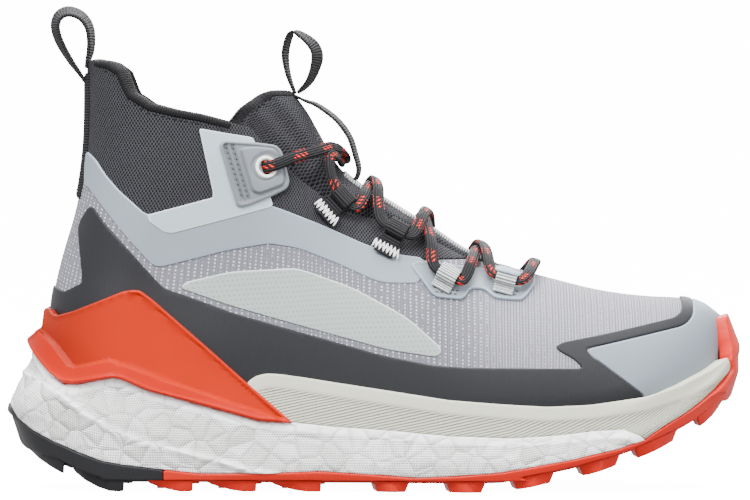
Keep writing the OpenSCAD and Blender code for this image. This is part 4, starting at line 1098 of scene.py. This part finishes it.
for side, word in SIDES:
    EYE = upper(EYELET[0], side * EYELET[1])
    hole = np.hypot(UX - EYE[0], UZ - EYE[2]) - EYELET_HOLE
    overlay("ankle_band_" + word, S_BAND, 0.0, 0.7, M["film"], side=side)
    overlay("ankle_panel_" + word, S_PANEL, 0.2, 1.15, M["pale"], side=side, r=0.35, fine=2)
    overlay("side_panel_" + word, S_SUPPORT, 0.0, 0.8, M["panel"], side=side)
    overlay("lace_wing_" + word, S_WING, 0.6, 1.45, M["film"], side=side, extra=wing_shape, fine=1)
    overlay("eyelet_patch_" + word, np.minimum(S_PATCH, hole), 0.6, 2.0, M["patch"], side=side, r=1.0,
            extra=patch_shape, fine=2)
    made("eyelet_" + word, [turned(EYELET_RING, *frame_at(EYELET[0], side * EYELET[1]))], M["ring"], "boot",
         "eyelet_" + word)
    stitch_rows("patch_stitches_" + word, PATCH_ROWS, side, 1.9, 2.3, 0.6, 0.3)
    stitch_rows("wing_stitches_" + word, WING_ROWS, side, 1.35, 1.9, 0.62, 0.27)

# ------------------------------------------------------------------ webbing loops that hold the lace
BAND_T = 1.0
LOOP_A, LOOP_B = LACE_W / 2 + 0.5 + BAND_T / 2, LACE_T / 2 + 0.35 + BAND_T / 2
FLAT, TAIL = (0.8, 0.8, 2.1, 2.1), (8.6, 8.6, 3.0, 3.0)


def tail_height(i, at):
    """Height of a loop's tail over the upper: it lies flat, then rises to the lace"""
    end = -LOOP_A - TAIL[i]
    return FLAT[i] + (LACE_LOOP - LOOP_B - FLAT[i]) * smoothstep(at, end * 0.75, -LOOP_A + 1.5)


def place_of(station, w, side):
    """Point on the upper, and the directions forward, out of it, and up along its surface"""
    p, t, n = frame_at(station, side * w)
    return p, t, n, np.cross(n, t) * -side


for i, (x0, w) in enumerate(LOOPS):
    for side, word in SIDES:
        p, t, n, across = place_of(x0, w, side)
        # the band's line: up the tail, round the lace and back down
        flat = LOOP_A - LOOP_B
        a = np.radians(np.linspace(-90, 90, 12))
        nose = np.stack([flat + LOOP_B * np.cos(a), LOOP_B * np.sin(a)], 1)
        tail_out = np.linspace(-LOOP_A - TAIL[i], flat, 18)
        tail = np.stack([tail_out, tail_height(i, tail_out) - LACE_LOOP], 1)
        line = np.concatenate([tail[:-1], nose, -nose[1:]])
        pts = p + n * LACE_LOOP + across * line[:, :1] + n * line[:, 1:]
        made(f"lace_loop_{word}_{i + 1}", [sweep(pts, t, band_section(LOOP_W, BAND_T))],
             M["webbing"] if i < 2 else M["light_webbing"], "boot", f"lace_loop_{word}_{i + 1}", sharp=0)

# bar tacks: close zigzags of white thread over the tails of the dark loops
TACKS, TACK_WIDE, TACK_HIGH = 14, 11.2, BAND_T / 2 + 0.15
tacks = []
for i, (x0, w) in enumerate(LOOPS[:2]):
    for side, _ in SIDES:
        p, t, n, across = place_of(x0, w, side)
        for k in range(TACKS):
            at = TACK_WIDE * (k / (TACKS - 1) - 0.5)
            lean_by = (1.5 if k % 2 else -0.2) + rng.uniform(-0.2, 0.2)
            low, high = -LACE_W / 2 - 8.8 + rng.uniform(-0.4, 0.3), -LACE_W / 2 - 4.5 + rng.uniform(-0.3, 0.4)
            a, b = (p + t * (at + lean_by * half) + across * down + n * (tail_height(i, down) + TACK_HIGH)
                    for half, down in ((-0.5, high), (0.5, low)))
            tacks.append(stitch(a, b, n, 0.4))
made("bartacks", tacks, M["thread"], "boot", "bartacks")

# the folded end of webbing that lies on the front loops
for side, word in SIDES:
    p, t, n, across = place_of(LOOPS[3][0] - 0.3, LOOPS[3][1], side)
    base = p + n * (LACE_LOOP + LOOP_B + BAND_T / 2 + 0.6) + across * 0.6
    q = np.linspace(-1, 1, 15)[:, None]
    pts = base + t * q * 5.4 - n * (q**2) * 0.6
    pad = sweep(pts, across, oval_section(3.6, 1.6, 16, 2.4), scale=tapered(15, 5, 0.25))
    made("loop_pad_" + word, [pad], M["film"], "boot", sharp=0)

# ------------------------------------------------------------------ collar: padding, knit rim, heel tab
cut, d, _ = UPPER.cut(np.minimum(TRUNK, in_pad), [0.0, 0.3, 1.0, 2.2, 4.0, 6.0])
puff = round_over(np.clip(d / 6, 0, 1))
collar_pad = made("collar_pad", [cut.solid(-1.15, -1.3 - 5.9 * puff)], M["lining"], "boot", "collar_foam",
                  "collar_lining", sharp=60)


def collar_point(side, q):
    """Along the collar's top edge, q from 0 at the throat to 1 at the heel"""
    x0 = X_HEEL + (THROAT[0, 0] - X_HEEL) * np.cos(np.pi / 2 * q)
    z = np.full(x0.shape, 170.0)
    for _ in range(40):
        z = np.interp(x0 + lean(z) * fade(x0), *COLLAR_TOP.T)
    p, _, n = frame_at(np.maximum(x0, X_HEEL + 0.45), side * share_at(x0, z))
    return p, n


q = np.linspace(0, 1, 61)
rim_line, rim_out = (np.concatenate(k) for k in zip(collar_point(-1, q), collar_point(1, q[-2::-1])))
rim_out[:, 2] = 0
rim_out = unit(rim_out)
for _ in range(6):
    rim_out[1:-1] = unit(rim_out[:-2] + rim_out[1:-1] + rim_out[2:])
    rim_line[1:-1, :2] = 0.25 * rim_line[:-2, :2] + 0.5 * rim_line[1:-1, :2] + 0.25 * rim_line[2:, :2]
roll = rim_line - rim_out * 2.7 + [0, 0, -1.6]
made("collar_rim", [sweep(roll, rim_out, oval_section(7.6, 4.0, 24, 2.5), scale=tapered(len(roll), 3, 0.5))],
     M["knit"], "boot", "collar_binding", sharp=0)
# a row of stitches under the rim
under = rim_line + rim_out * 0.45 + [0, 0, -3.9]
seam = [stitch(a, a + (b - a) * 0.9, n, 0.3) for a, b, n in zip(under[:-1:2], under[1::2], rim_out[::2])
        if np.linalg.norm(b - a) > 0.4]
made("rim_stitches", seam, M["dark_thread"], "boot")


def heel_tail(z_low, z_high, half, inner, outer, rows=40, cols=9):
    """A band down the heel, thinner towards its edges"""
    z, y = np.meshgrid(np.linspace(z_low, z_high, rows), np.linspace(-half, half, cols), indexing="ij")
    wide = curve(HALF_LATERAL, X_HEEL) * curve(SHAFT, z) * 0.97
    x0 = X_HEEL + curve(HEEL_ROUND, z) * (1 - np.sqrt(1 - np.clip(y / wide, -1, 1) ** 2))
    r, c = (np.minimum(k, k[::-1]) for k in (np.arange(rows), np.arange(cols)))
    edge = round_over(np.clip(np.minimum(r[:, None], c) / 2, 0, 1))
    top = inner + (outer - inner) * (0.35 + 0.65 * edge)
    return grid_skin(np.stack([x0 + lean(z) * fade(x0), y, z], -1)).solid(top.ravel(), inner)


made("heel_loop_tail", [heel_tail(122, 175, 9.5, 0.1, 1.5)], M["webbing"], "boot", "heel_loop_tail")


def loop_band(name, body, places, w, t, twist):
    """A band of webbing along a line seen from the side; twist turns its width towards the viewer's side"""
    line = through(places, 8)
    pts = np.stack([line[:, 0], np.zeros(len(line)), line[:, 1]], 1)
    share = np.linspace(0, 1, len(pts))
    turn = np.radians(np.interp(share, np.linspace(0, 1, len(twist)), twist))[:, None]
    y = np.array([0, 1.0, 0])
    across = y * np.cos(turn) + np.cross(unit(np.gradient(pts, axis=0)), y) * np.sin(turn)
    made(name, [sweep(pts, across, band_section(w, t))], M["webbing"], body, name, sharp=0)


loop_band("heel_pull_loop", "heel_loop",
          [(-122.4, 171.6), (-124.9, 175.2), (-128.9, 180.8), (-133.1, 188.2), (-134.9, 194.5),
           (-133.6, 199), (-130.3, 200.9), (-126.6, 200.5), (-123.2, 198.5), (-120.7, 194.8),
           (-119.8, 190), (-120, 184.5), (-121, 180.5), (-121.5, 177)],
          14, 1.6, [0, 4, 8, 12, 14, 16, 16, 14, 12, 10, 8, 6, 2, 0])
loop_band("tongue_pull_loop", "tongue_loop",
          [(-33.5, 166.2), (-36.6, 175), (-37.6, 183.5), (-35.6, 191), (-32.6, 192),
           (-26, 187), (-24.2, 181), (-27.2, 172), (-32.5, 166.5)],
          10, 1.3, [0, -8, -14, -12, 10, 24, 26, 14, 0])
loop_band("tongue_keeper", "tongue",
          [(-38.5, 166.2), (-35.4, 165.9), (-32.8, 165), (-30.6, 163.9), (-28.2, 162.9), (-24, 161.3),
           (-16.2, 155.6), (-10.6, 148.2), (-8, 140.5), (-6.6, 134.5), (-8, 130), (-12.5, 126.5)],
          13, 1.2, [0, 0, 0, 1, 3, 6, 7, 7, 6, 4, 0])

# ------------------------------------------------------------------ tongue
wide = np.where(UX < -20, np.minimum(UY + 33, 31 - UY), 26 - abs(UY))
s_tongue = np.minimum(inside(rounded(TONGUE, 3), UX, UZ), wide)
TONGUE_TOP = through(arr([-66, 138], [-61, 152.5], [-52, 163], [-44, 169.3], [-40, 170], [-32, 170]), 6)
S_TOP_EDGE = -line_distance(TONGUE_TOP, UX, UZ)
TONGUE_MID, TONGUE_HALF = -6.74, 2.5
CREASE = arr([-34, 140], [-30.6, 134.6], [-23.5, 115.7], [-22, 108])


def tongue_sides(cut, d, grow=0.0):
    """Outer and inner side of a pad with round edges, lifted into the throat where that is open"""
    x, y, z = cut.p.T
    puff = np.sqrt(np.clip(1 - (1 - np.clip(d / 3.2, 0, 1)) ** 2, 0.02, 1))
    lift = 3.7 * smoothstep(-throat_gap(x, y), 0.6, 6.0) * smoothstep(x, -70, -58)
    tuck = 3.9 * smoothstep(abs(y), 16.5, 21.5) * smoothstep(-x, 20, 26)
    lift = np.where(z < 70, 0, lift) - tuck
    fold = 0.9 * (1 - smoothstep(abs(line_distance(CREASE, x, z)), 0.0, 2.6))
    swell = 0.5 * smoothstep(d, 3, 12)
    half = (TONGUE_HALF + grow) * puff
    return TONGUE_MID + half + (lift + swell - fold) * puff, TONGUE_MID - half - tuck


# places half a millimetre apart along the ridge
RIDGE_STEP = 0.5
x = np.linspace(X_HEEL, X_TOE, 4000)
z = curve(RIDGE, x)
run = run_of(np.stack([x, z], 1))
RIDGE_LINE = np.stack([np.interp(np.arange(0, run[-1], RIDGE_STEP), run, k)
                       for k in (x + lean(z) * fade(x), z)], 1)


def tongue_piece(name, s, mat, node, grow=0.0):
    cut, _, (d,) = UPPER.cut(s, [0.0, 0.25, 0.8, 1.8], more=(s_tongue,))
    near = np.hypot(cut.p[:, :1] - RIDGE_LINE[:, 0], cut.p[:, 2:] - RIDGE_LINE[:, 1]).argmin(1)
    cut.uv = np.stack([near * RIDGE_STEP, cut.p[:, 1]], 1)
    return made(name, [cut.solid(*tongue_sides(cut, np.clip(d, 0, None), grow))], mat, "tongue", node,
                sharp=60, edge=np.tile(d, 2))


tongue = tongue_piece("tongue", np.minimum(s_tongue, S_TOP_EDGE - 4.0), M["tongue"], "tongue_pad")
tongue_piece("tongue_rim", np.minimum(s_tongue, 4.2 - S_TOP_EDGE), M["binding"], "tongue_edge", 0.35)
strip = np.minimum(np.minimum(7 - abs(UY - curve(MIDDLE, UX)), UX + 13), 45 - UX)
cut, d, _ = UPPER.cut(np.where(UZ > 90, strip, -9), [0.0, 0.15, 0.4])
made("tongue_strip", [cut.solid(bevel(d, -0.3, 0.8, 0.4), -1.2)], M["light_webbing"], "tongue",
     "tongue_strip")
# stitches along the inner side of the tongue's rim
edge_line = through(arr([-60, 145.5], [-57.8, 149.8], [-49.6, 159.6], [-42.6, 164.6], [-38, 165.6]), 12)
rows = sum((stitched(edge_line, side, -3.9, 2.0, 0.55, 0.3) for side, _ in SIDES), [])
made("tongue_stitches", rows, M["dark_thread"], "tongue")

# ------------------------------------------------------------------ sole unit
SOLE_INNER = -6.2
above_foam_low = line_distance(FOAM_LOW, LX, LZ)
rim_shape = np.concatenate([RIM_TOP[::-1], [[-50.5, 40.8], [-43, 34.2], [-36, 27.8]], RIM_LOW,
                            [[113, 22.2], [115.7, 24.2], [122.7, 28.4], [129.7, 32.1], [136.7, 36.8],
                             [143.7, 42.4], [147.8, 46.6], [150.1, 50], [150.1, 52.3], [149.4, 54]]])
S_RIM = inside(rounded(rim_shape, 1.5), LX, LZ)
S_CLIP = inside(rounded(np.concatenate([CLIP_TOP, CLIP_LOW]), 1.0), LX, LZ)
foam_shape = np.concatenate([FOAM_LOW, RIM_LOW[::-1], CLIP_LOW[1:], [[-146, 62], [-160, 60], [-160, 34]]])
S_FOAM = inside(foam_shape, LX, LZ)
S_BUMPER = inside(rounded(BUMPER, 1.0), LX, LZ)
FOAM_TOP = np.concatenate([RIM_LOW[::-1], CLIP_LOW])
FOAM_RIDGE = through(arr([-150, 50], [-133, 41.5], [-119.5, 31.7], [-99, 21.6], [-69.5, 14.2], [-52.7, 9.4],
                         [-40, 7]), 6)


def foam_relief(x, z, gap, ridge):
    """A smooth band along the top, a ridge, soft waves and the bulge of the heel"""
    band = 1 - smoothstep(gap, 3.4, 4.1)
    soft = 0.25 * np.sin(x * 0.23 + 0.4 * z) * np.sin(z * 0.31)
    heel = 1.5 * smoothstep(-x, 130, 150) * (1 - smoothstep(z, 38, 56))
    return 0.5 * band - 0.3 + 1.3 * ridge + soft * (1 - band) + heel


cut, d, _ = SOLE.cut(S_FOAM, [0.0, 0.1, 0.35, 0.8])
x, _, z = cut.p.T
gap = abs(line_distance(FOAM_TOP, x, z))
ridge = 1 - smoothstep(abs(line_distance(FOAM_RIDGE, x, z)), 0.0, 2.4)
ridge *= smoothstep(gap, 3.4, 4.1)
# the ridge field also sets the foam's painted highlight along the ridge
made("foam", [cut.solid(bevel(d, -1.2, 0.0, 0.8) + foam_relief(x, z, gap, ridge), SOLE_INNER)], M["foam"],
     "boot", "foam_midsole", edge=np.tile(gap, 2), ridge=np.tile(ridge, 2))

near_upper = {side: KDTree(len(UX)) for side, _ in SIDES}
for side, tree in near_upper.items():
    for i in np.flatnonzero((side * (UY - curve(MIDDLE, UX)) > 8) & (UZ < 100)):
        tree.insert((UX[i], 0, UZ[i]), i)
    tree.balance()


def clear_of_upper(cut, top, air):
    """Lifts the high part of an outer face where the upper beneath it would come through"""
    lift_from, least_sideways, near_by = 44, 0.35, 4
    top = top.copy()
    for i, (q, n) in enumerate(zip(cut.p, cut.n)):
        if q[2] < lift_from or abs(n[1]) < least_sideways:
            continue
        side = 1 if n[1] > 0 else -1
        near = near_upper[side].find_n((q[0], 0, q[2]), 4)
        if len(near) == 4 and near[0][2] <= near_by:
            under = max(side * UY[k[1]] for k in near)
            top[i] += max(under + air - side * (q[1] + n[1] * top[i]), 0) / abs(n[1])
    return top


cut, d, _ = SOLE.cut(S_RIM, [0.0, 0.12, 0.3, 0.6, 1.0])
low = -line_distance(RIM_TOP, cut.p[:, 0], cut.p[:, 2])
top = bevel(d, -6, 0.1, 1.0, 0.85) + clear_of_upper(cut, 0.55 * (1 - smoothstep(low, 5.0, 7.5)) - 0.2, 1.2)
made("rim", [cut.solid(top, SOLE_INNER)], M["rim"], "boot", "midsole_rim", edge=np.tile(low, 2))

CLIP_CREASE = arr([-150, 72], [-139.7, 67.2], [-132.9, 61.1], [-126.2, 52.7], [-124.3, 52.1], [-110.3, 55.1],
                  [-107.7, 54.4], [-86.3, 46.4], [-59.4, 37.2], [-48.1, 33.8], [-30, 27])
FRONT_EDGE = CLIP_TOP[CLIP_TOP[:, 0] >= -101]


def clip_relief(x, z, d, c):
    """The foot flares out below the crease; a raised front edge, a lip all round and a step at the back"""
    above = c > 0
    flare = 2.2 * smoothstep(-c, -0.7, 0.9) + 0.1 * np.clip(-c, 0, 8)
    front = 0.7 * (1 - smoothstep(abs(line_distance(FRONT_EDGE, x, z)), 1.2, 2.2)) * above
    lip = 0.35 * (1 - smoothstep(d, 0.8, 1.6))
    back = 1.0 * (1 - smoothstep(x, -138.6, -135.5)) * above
    return flare + front + lip + back - 0.3


split, _, (s_clip,) = SOLE.cut(line_distance(CLIP_CREASE, LX, LZ), [-0.9, -0.4, 0.1, 0.7],
                               keep_above=-math.inf, more=(S_CLIP,))
cut, d, _ = split.cut(s_clip, [0.0, 0.12, 0.3, 0.6, 1.0])
x, _, z = cut.p.T
c = line_distance(CLIP_CREASE, x, z)
top = bevel(d, -5, 0.6, 1.0, 0.82) + clear_of_upper(cut, clip_relief(x, z, d, c) + 0.6, 1.9) - 0.6
# edge carries the crease distance, which places the painted highlight on the foot below the crease
made("clip", [cut.solid(top, SOLE_INNER)], M["clip"], "boot", "heel_clip", sharp=30, edge=np.tile(c, 2))

# rubber: a band round the edge, a plate under the foam, and lugs
RUBBER_SPLIT = -88
PLATE_LOW = through(TREAD, 6)
px = PLATE_LOW[:, 0]
PLATE_LOW[:, 1] += 0.3 + 4.6 * smoothstep(px, -152, -131) * (1 - smoothstep(px, 143, 149))
s_band = np.where(LX > 113.05, S_BUMPER, -above_foam_low)
s_band = np.minimum(s_band, line_distance(PLATE_LOW, LX, LZ))


def rubber_relief(x, z):
    """The bumper's step round the toe, its nose and foot, and the bulge of the heel"""
    low = line_distance(PLATE_LOW, x, z)
    step = 0.8 * smoothstep(low, 3.0, 4.2) * smoothstep(x, 108, 118) * (1 - smoothstep(low, 7.5, 8.6))
    step *= 1 - smoothstep(z, 40, 46)
    nose = 0.7 * smoothstep(x, 146, 153) * np.clip(1 - ((z - 57) / 15) ** 2, 0, 1)
    under = 1.6 * smoothstep(x, 138, 147) * (1 - smoothstep(z, 48, 56))
    return step * 0.9 + nose + under + 1.7 * smoothstep(-x, 130, 150)


for name, s, key, nodes in (
        ("tread", LX - RUBBER_SPLIT, "tread", ("forefoot_outsole", "toe_bumper")),
        ("heel_tread", RUBBER_SPLIT - 0.2 - LX, "heel", ("heel_outsole",))):
    skin, s = SOLE.finer(np.minimum(s_band, s), 1)
    cut, d, _ = skin.cut(s, [0.0, 0.08, 0.25, 0.6])
    x, _, z = cut.p.T
    thin = smoothstep(x, 140, 148) * smoothstep(z, 50, 54)
    top = bevel(d, -5, 0.15, 0.6, 0.88) + rubber_relief(x, z)
    made(name, [cut.solid(top, SOLE_INNER + 0.8 * thin)], M[key], "boot", *nodes, sharp=35,
         edge=np.tile(d, 2))


def slab(low, high):
    """A closed mesh between two grids of points"""
    n, m = low.shape[:2]
    i = np.arange(n * m).reshape(n, m)
    a, b, c, d = cells(i)
    faces = np.concatenate([np.stack([a, d, c, b], 1), np.stack([a, b, c, d], 1) + n * m]).tolist()
    edge = np.concatenate([i[0, :-1], i[:-1, -1], i[-1, :0:-1], i[:0:-1, 0]])
    after = np.roll(edge, -1)
    faces += np.stack([edge, edge + n * m, after + n * m, after], 1).tolist()
    v = np.concatenate([low.reshape(-1, 3), high.reshape(-1, 3)])
    return v, faces, v[:, :2]


def plate(x0, x1, n=60, m=24):
    """The flat of the rubber under the foot"""
    x, q = np.meshgrid(np.linspace(x0, x1, n), np.linspace(-1, 1, m), indexing="ij")
    y = curve(MIDDLE, x) + q * np.maximum(ring_half(RINGS[1], x, q) - 2.6, 0.0)
    z = curve(TREAD, x) + 4.1 + 0.3 * (1 - q**2)
    return slab(np.stack([x, y, z], -1), np.stack([x, y, z + 2.4], -1))


EDGE_LUGS = [(-152, -129.4), (-126.4, -104.2), (-95, -75.5), (-70, -49), (-43.5, -22), (-0.8, 14.8),
             (29.5, 46.5), (57, 75), (84.8, 102.5), (107.8, 127), (134.8, 149.4)]


def block(sections, r=0.35):
    """A solid through a row of four-cornered sections, with its edges rounded"""
    bm = bmesh.new()
    rows = [[bm.verts.new(p) for p in s] for s in sections]
    for a, b in zip(rows[:-1], rows[1:]):
        for i in range(4):
            j = (i + 1) % 4
            bm.faces.new((a[i], a[j], b[j], b[i]))
    bm.faces.new(rows[0][::-1])
    bm.faces.new(rows[-1])
    bmesh.ops.recalc_face_normals(bm, faces=bm.faces)
    sharp = [e for e in bm.edges if len(e.link_faces) == 2 and e.calc_face_angle(0) > 0.3]
    bmesh.ops.bevel(bm, geom=sharp, offset=r, offset_type="OFFSET", segments=2, profile=0.6, affect="EDGES",
                    clamp_overlap=True)
    bmesh.ops.triangulate(bm, faces=bm.faces)
    bm.verts.index_update()
    v = np.array([q.co[:] for q in bm.verts])
    f = [[q.index for q in face.verts] for face in bm.faces]
    bm.free()
    return v, f, v[:, :2]


LUG_AT = (0, 0.07, 0.25, 0.5, 0.72, 0.92, 1.0)
# by where a lug's back lies: its depth from back to front, how far it stands out, its reach inwards
WEDGE_OUT, BLOCK_OUT = arr(-1.2, -0.9, -0.3, 0.3, 1.1, 0.9, 0.2), arr(-1.8, -1.0, 0.4, 2.3, 0.4, -1.0, -1.8)
LUG_KINDS = (
    (-130, 4.8 * arr(0.55, 0.8, 0.95, 1.0, 1.0, 1.0, 0.95), WEDGE_OUT, 26),
    (-100, 4.8 * arr(0.20, 0.45, 0.70, 0.88, 1.0, 1.0, 0.9), WEDGE_OUT, 17),
    (-10, 4.6 * arr(0.10, 0.30, 0.55, 0.80, 1.0, 1.0, 0.9), WEDGE_OUT, 17),
    (math.inf, 4.6 * arr(0.35, 0.95, 1.0, 1.0, 1.0, 1.0, 0.35), BLOCK_OUT, 17),
)
LUG_TOP, LUG_BOTTOM = 4.9, 0.05


def edge_lug(back, front, side):
    """Behind the arch a wedge that is deepest at its front, ahead of it a block with a crest down
    its outer face"""
    deep, outset, reach = next(kind[1:] for kind in LUG_KINDS if back < kind[0])
    slant = 0.8 if back < -10 else 1.6
    out = []
    for q, deep_here, outset_here in zip(LUG_AT, deep, outset):
        x = back + (front - back) * q
        x_low = x + (0.5 - q) * slant
        high = float(curve(TREAD, x)) + LUG_TOP
        low = max(high - 0.3 - deep_here, LUG_BOTTOM)
        foot, rise_of = (float(np.maximum(ring_half(r, np.array(x), side), 0.0)) for r in RINGS[:2])
        inner = max(foot - reach, 4) if foot > 12 else max(foot - 8, 1)
        mid = float(curve(MIDDLE, x))
        out.append([(x, mid + side * (rise_of - 0.9 + min(outset_here, 0.2)), high),
                    (x_low, mid + side * (foot + outset_here * 0.9), low),
                    (x_low + 1.5 * side, mid + side * inner, low + 0.1),
                    (x + 1.5 * side, mid + side * (inner - 1), high)])
    return block(out)


def centre_lug(cx, cy, side):
    """One of a pair of slanted lugs under the middle of the sole"""
    out = []
    for q in np.linspace(0, 1, 6):
        y = cy + side * (2.2 + 15 * q)
        back, front = cx - 9 - 4 * q, cx + 2 - 6 * q
        out.append([(x, y, max(float(curve(TREAD, x)), 0) + z)
                    for x, z in ((back, LUG_TOP), (back + 0.7, 0.15), (front - 0.7, 0.15), (front, LUG_TOP))])
    return block(out)


orange, dark = [], []
for back, front in EDGE_LUGS:
    group = dark if back < -96 else orange
    group += [edge_lug(back, front, side) for side, _ in SIDES]
    if -130 < back < 130:
        group += [centre_lug((back + front) / 2 + 6, 3 if back > 50 else 0, side) for side, _ in SIDES]
orange.append(plate(RUBBER_SPLIT, 149.5))
dark.append(plate(-151.5, RUBBER_SPLIT - 0.2, 20))
made("tread_lugs", orange, M["tread"], "boot", sharp=25)
made("heel_lugs", dark, M["heel"], "boot", sharp=25)


# ------------------------------------------------------------------ insole
def insole_shape(n=90, m=26):
    x, q = np.meshgrid(np.linspace(-126, 133, n), np.linspace(-1, 1, m), indexing="ij")
    base_z = curve(FLOOR, x)
    w_at = np.sign(q) * np.sqrt(1 - np.clip(4.5 / (curve(RIDGE, x) - base_z), 0, 1))
    edge_y = upper(x - lean(base_z + 4) * fade(x), w_at)[..., 1]
    y = curve(MIDDLE, x) + (edge_y - curve(MIDDLE, x)) * np.abs(q) - np.sign(q) * 4.4 * np.abs(q)
    round_end = np.sqrt(np.clip(np.minimum((x + 127) / 5, (134 - x) / 5), 0.06, 1))
    puff = np.sqrt(np.clip(1 - np.abs(q) ** 8, 0.05, 1)) * round_end
    mid = base_z + 2.6
    top = mid + 2.1 * puff + 0.5 * np.abs(q) ** 3 * puff
    return slab(np.stack([x, y, mid - 2.2 * puff], -1), np.stack([x, y, top], -1))


insole = made("insole", [insole_shape()], M["insole"], "boot", "insole", sharp=0)

# ------------------------------------------------------------------ what stays of the frame, floor and slots
for name, key in (("strobel_board", "board"), ("heel_counter", "stiffener"), ("toe_puff", "stiffener")):
    NODES[name].data.materials.clear()
    NODES[name].data.materials.append(M[key])

floor = bpy.data.meshes.new("floor")
floor.from_pydata([(-150, -150, 0), (150, -150, 0), (150, 150, 0), (-150, 150, 0)], [], [(0, 1, 2, 3)])
floor_ob = bpy.data.objects.new("floor", floor)
scene.collection.objects.link(floor_ob)
# the floor glows to the eye alone, so that the sweep is as white as a lit studio's
pale_floor = Material("floor", 0.9, Emission_Color=(1, 1, 1, 1), Emission_Strength=GLOW)
pale_floor.finish(srgb(250, 250, 250))
floor_ob.visible_diffuse = floor_ob.visible_glossy = floor_ob.visible_shadow = False
floor.materials.append(pale_floor.made)

low, high = CAD_BOX
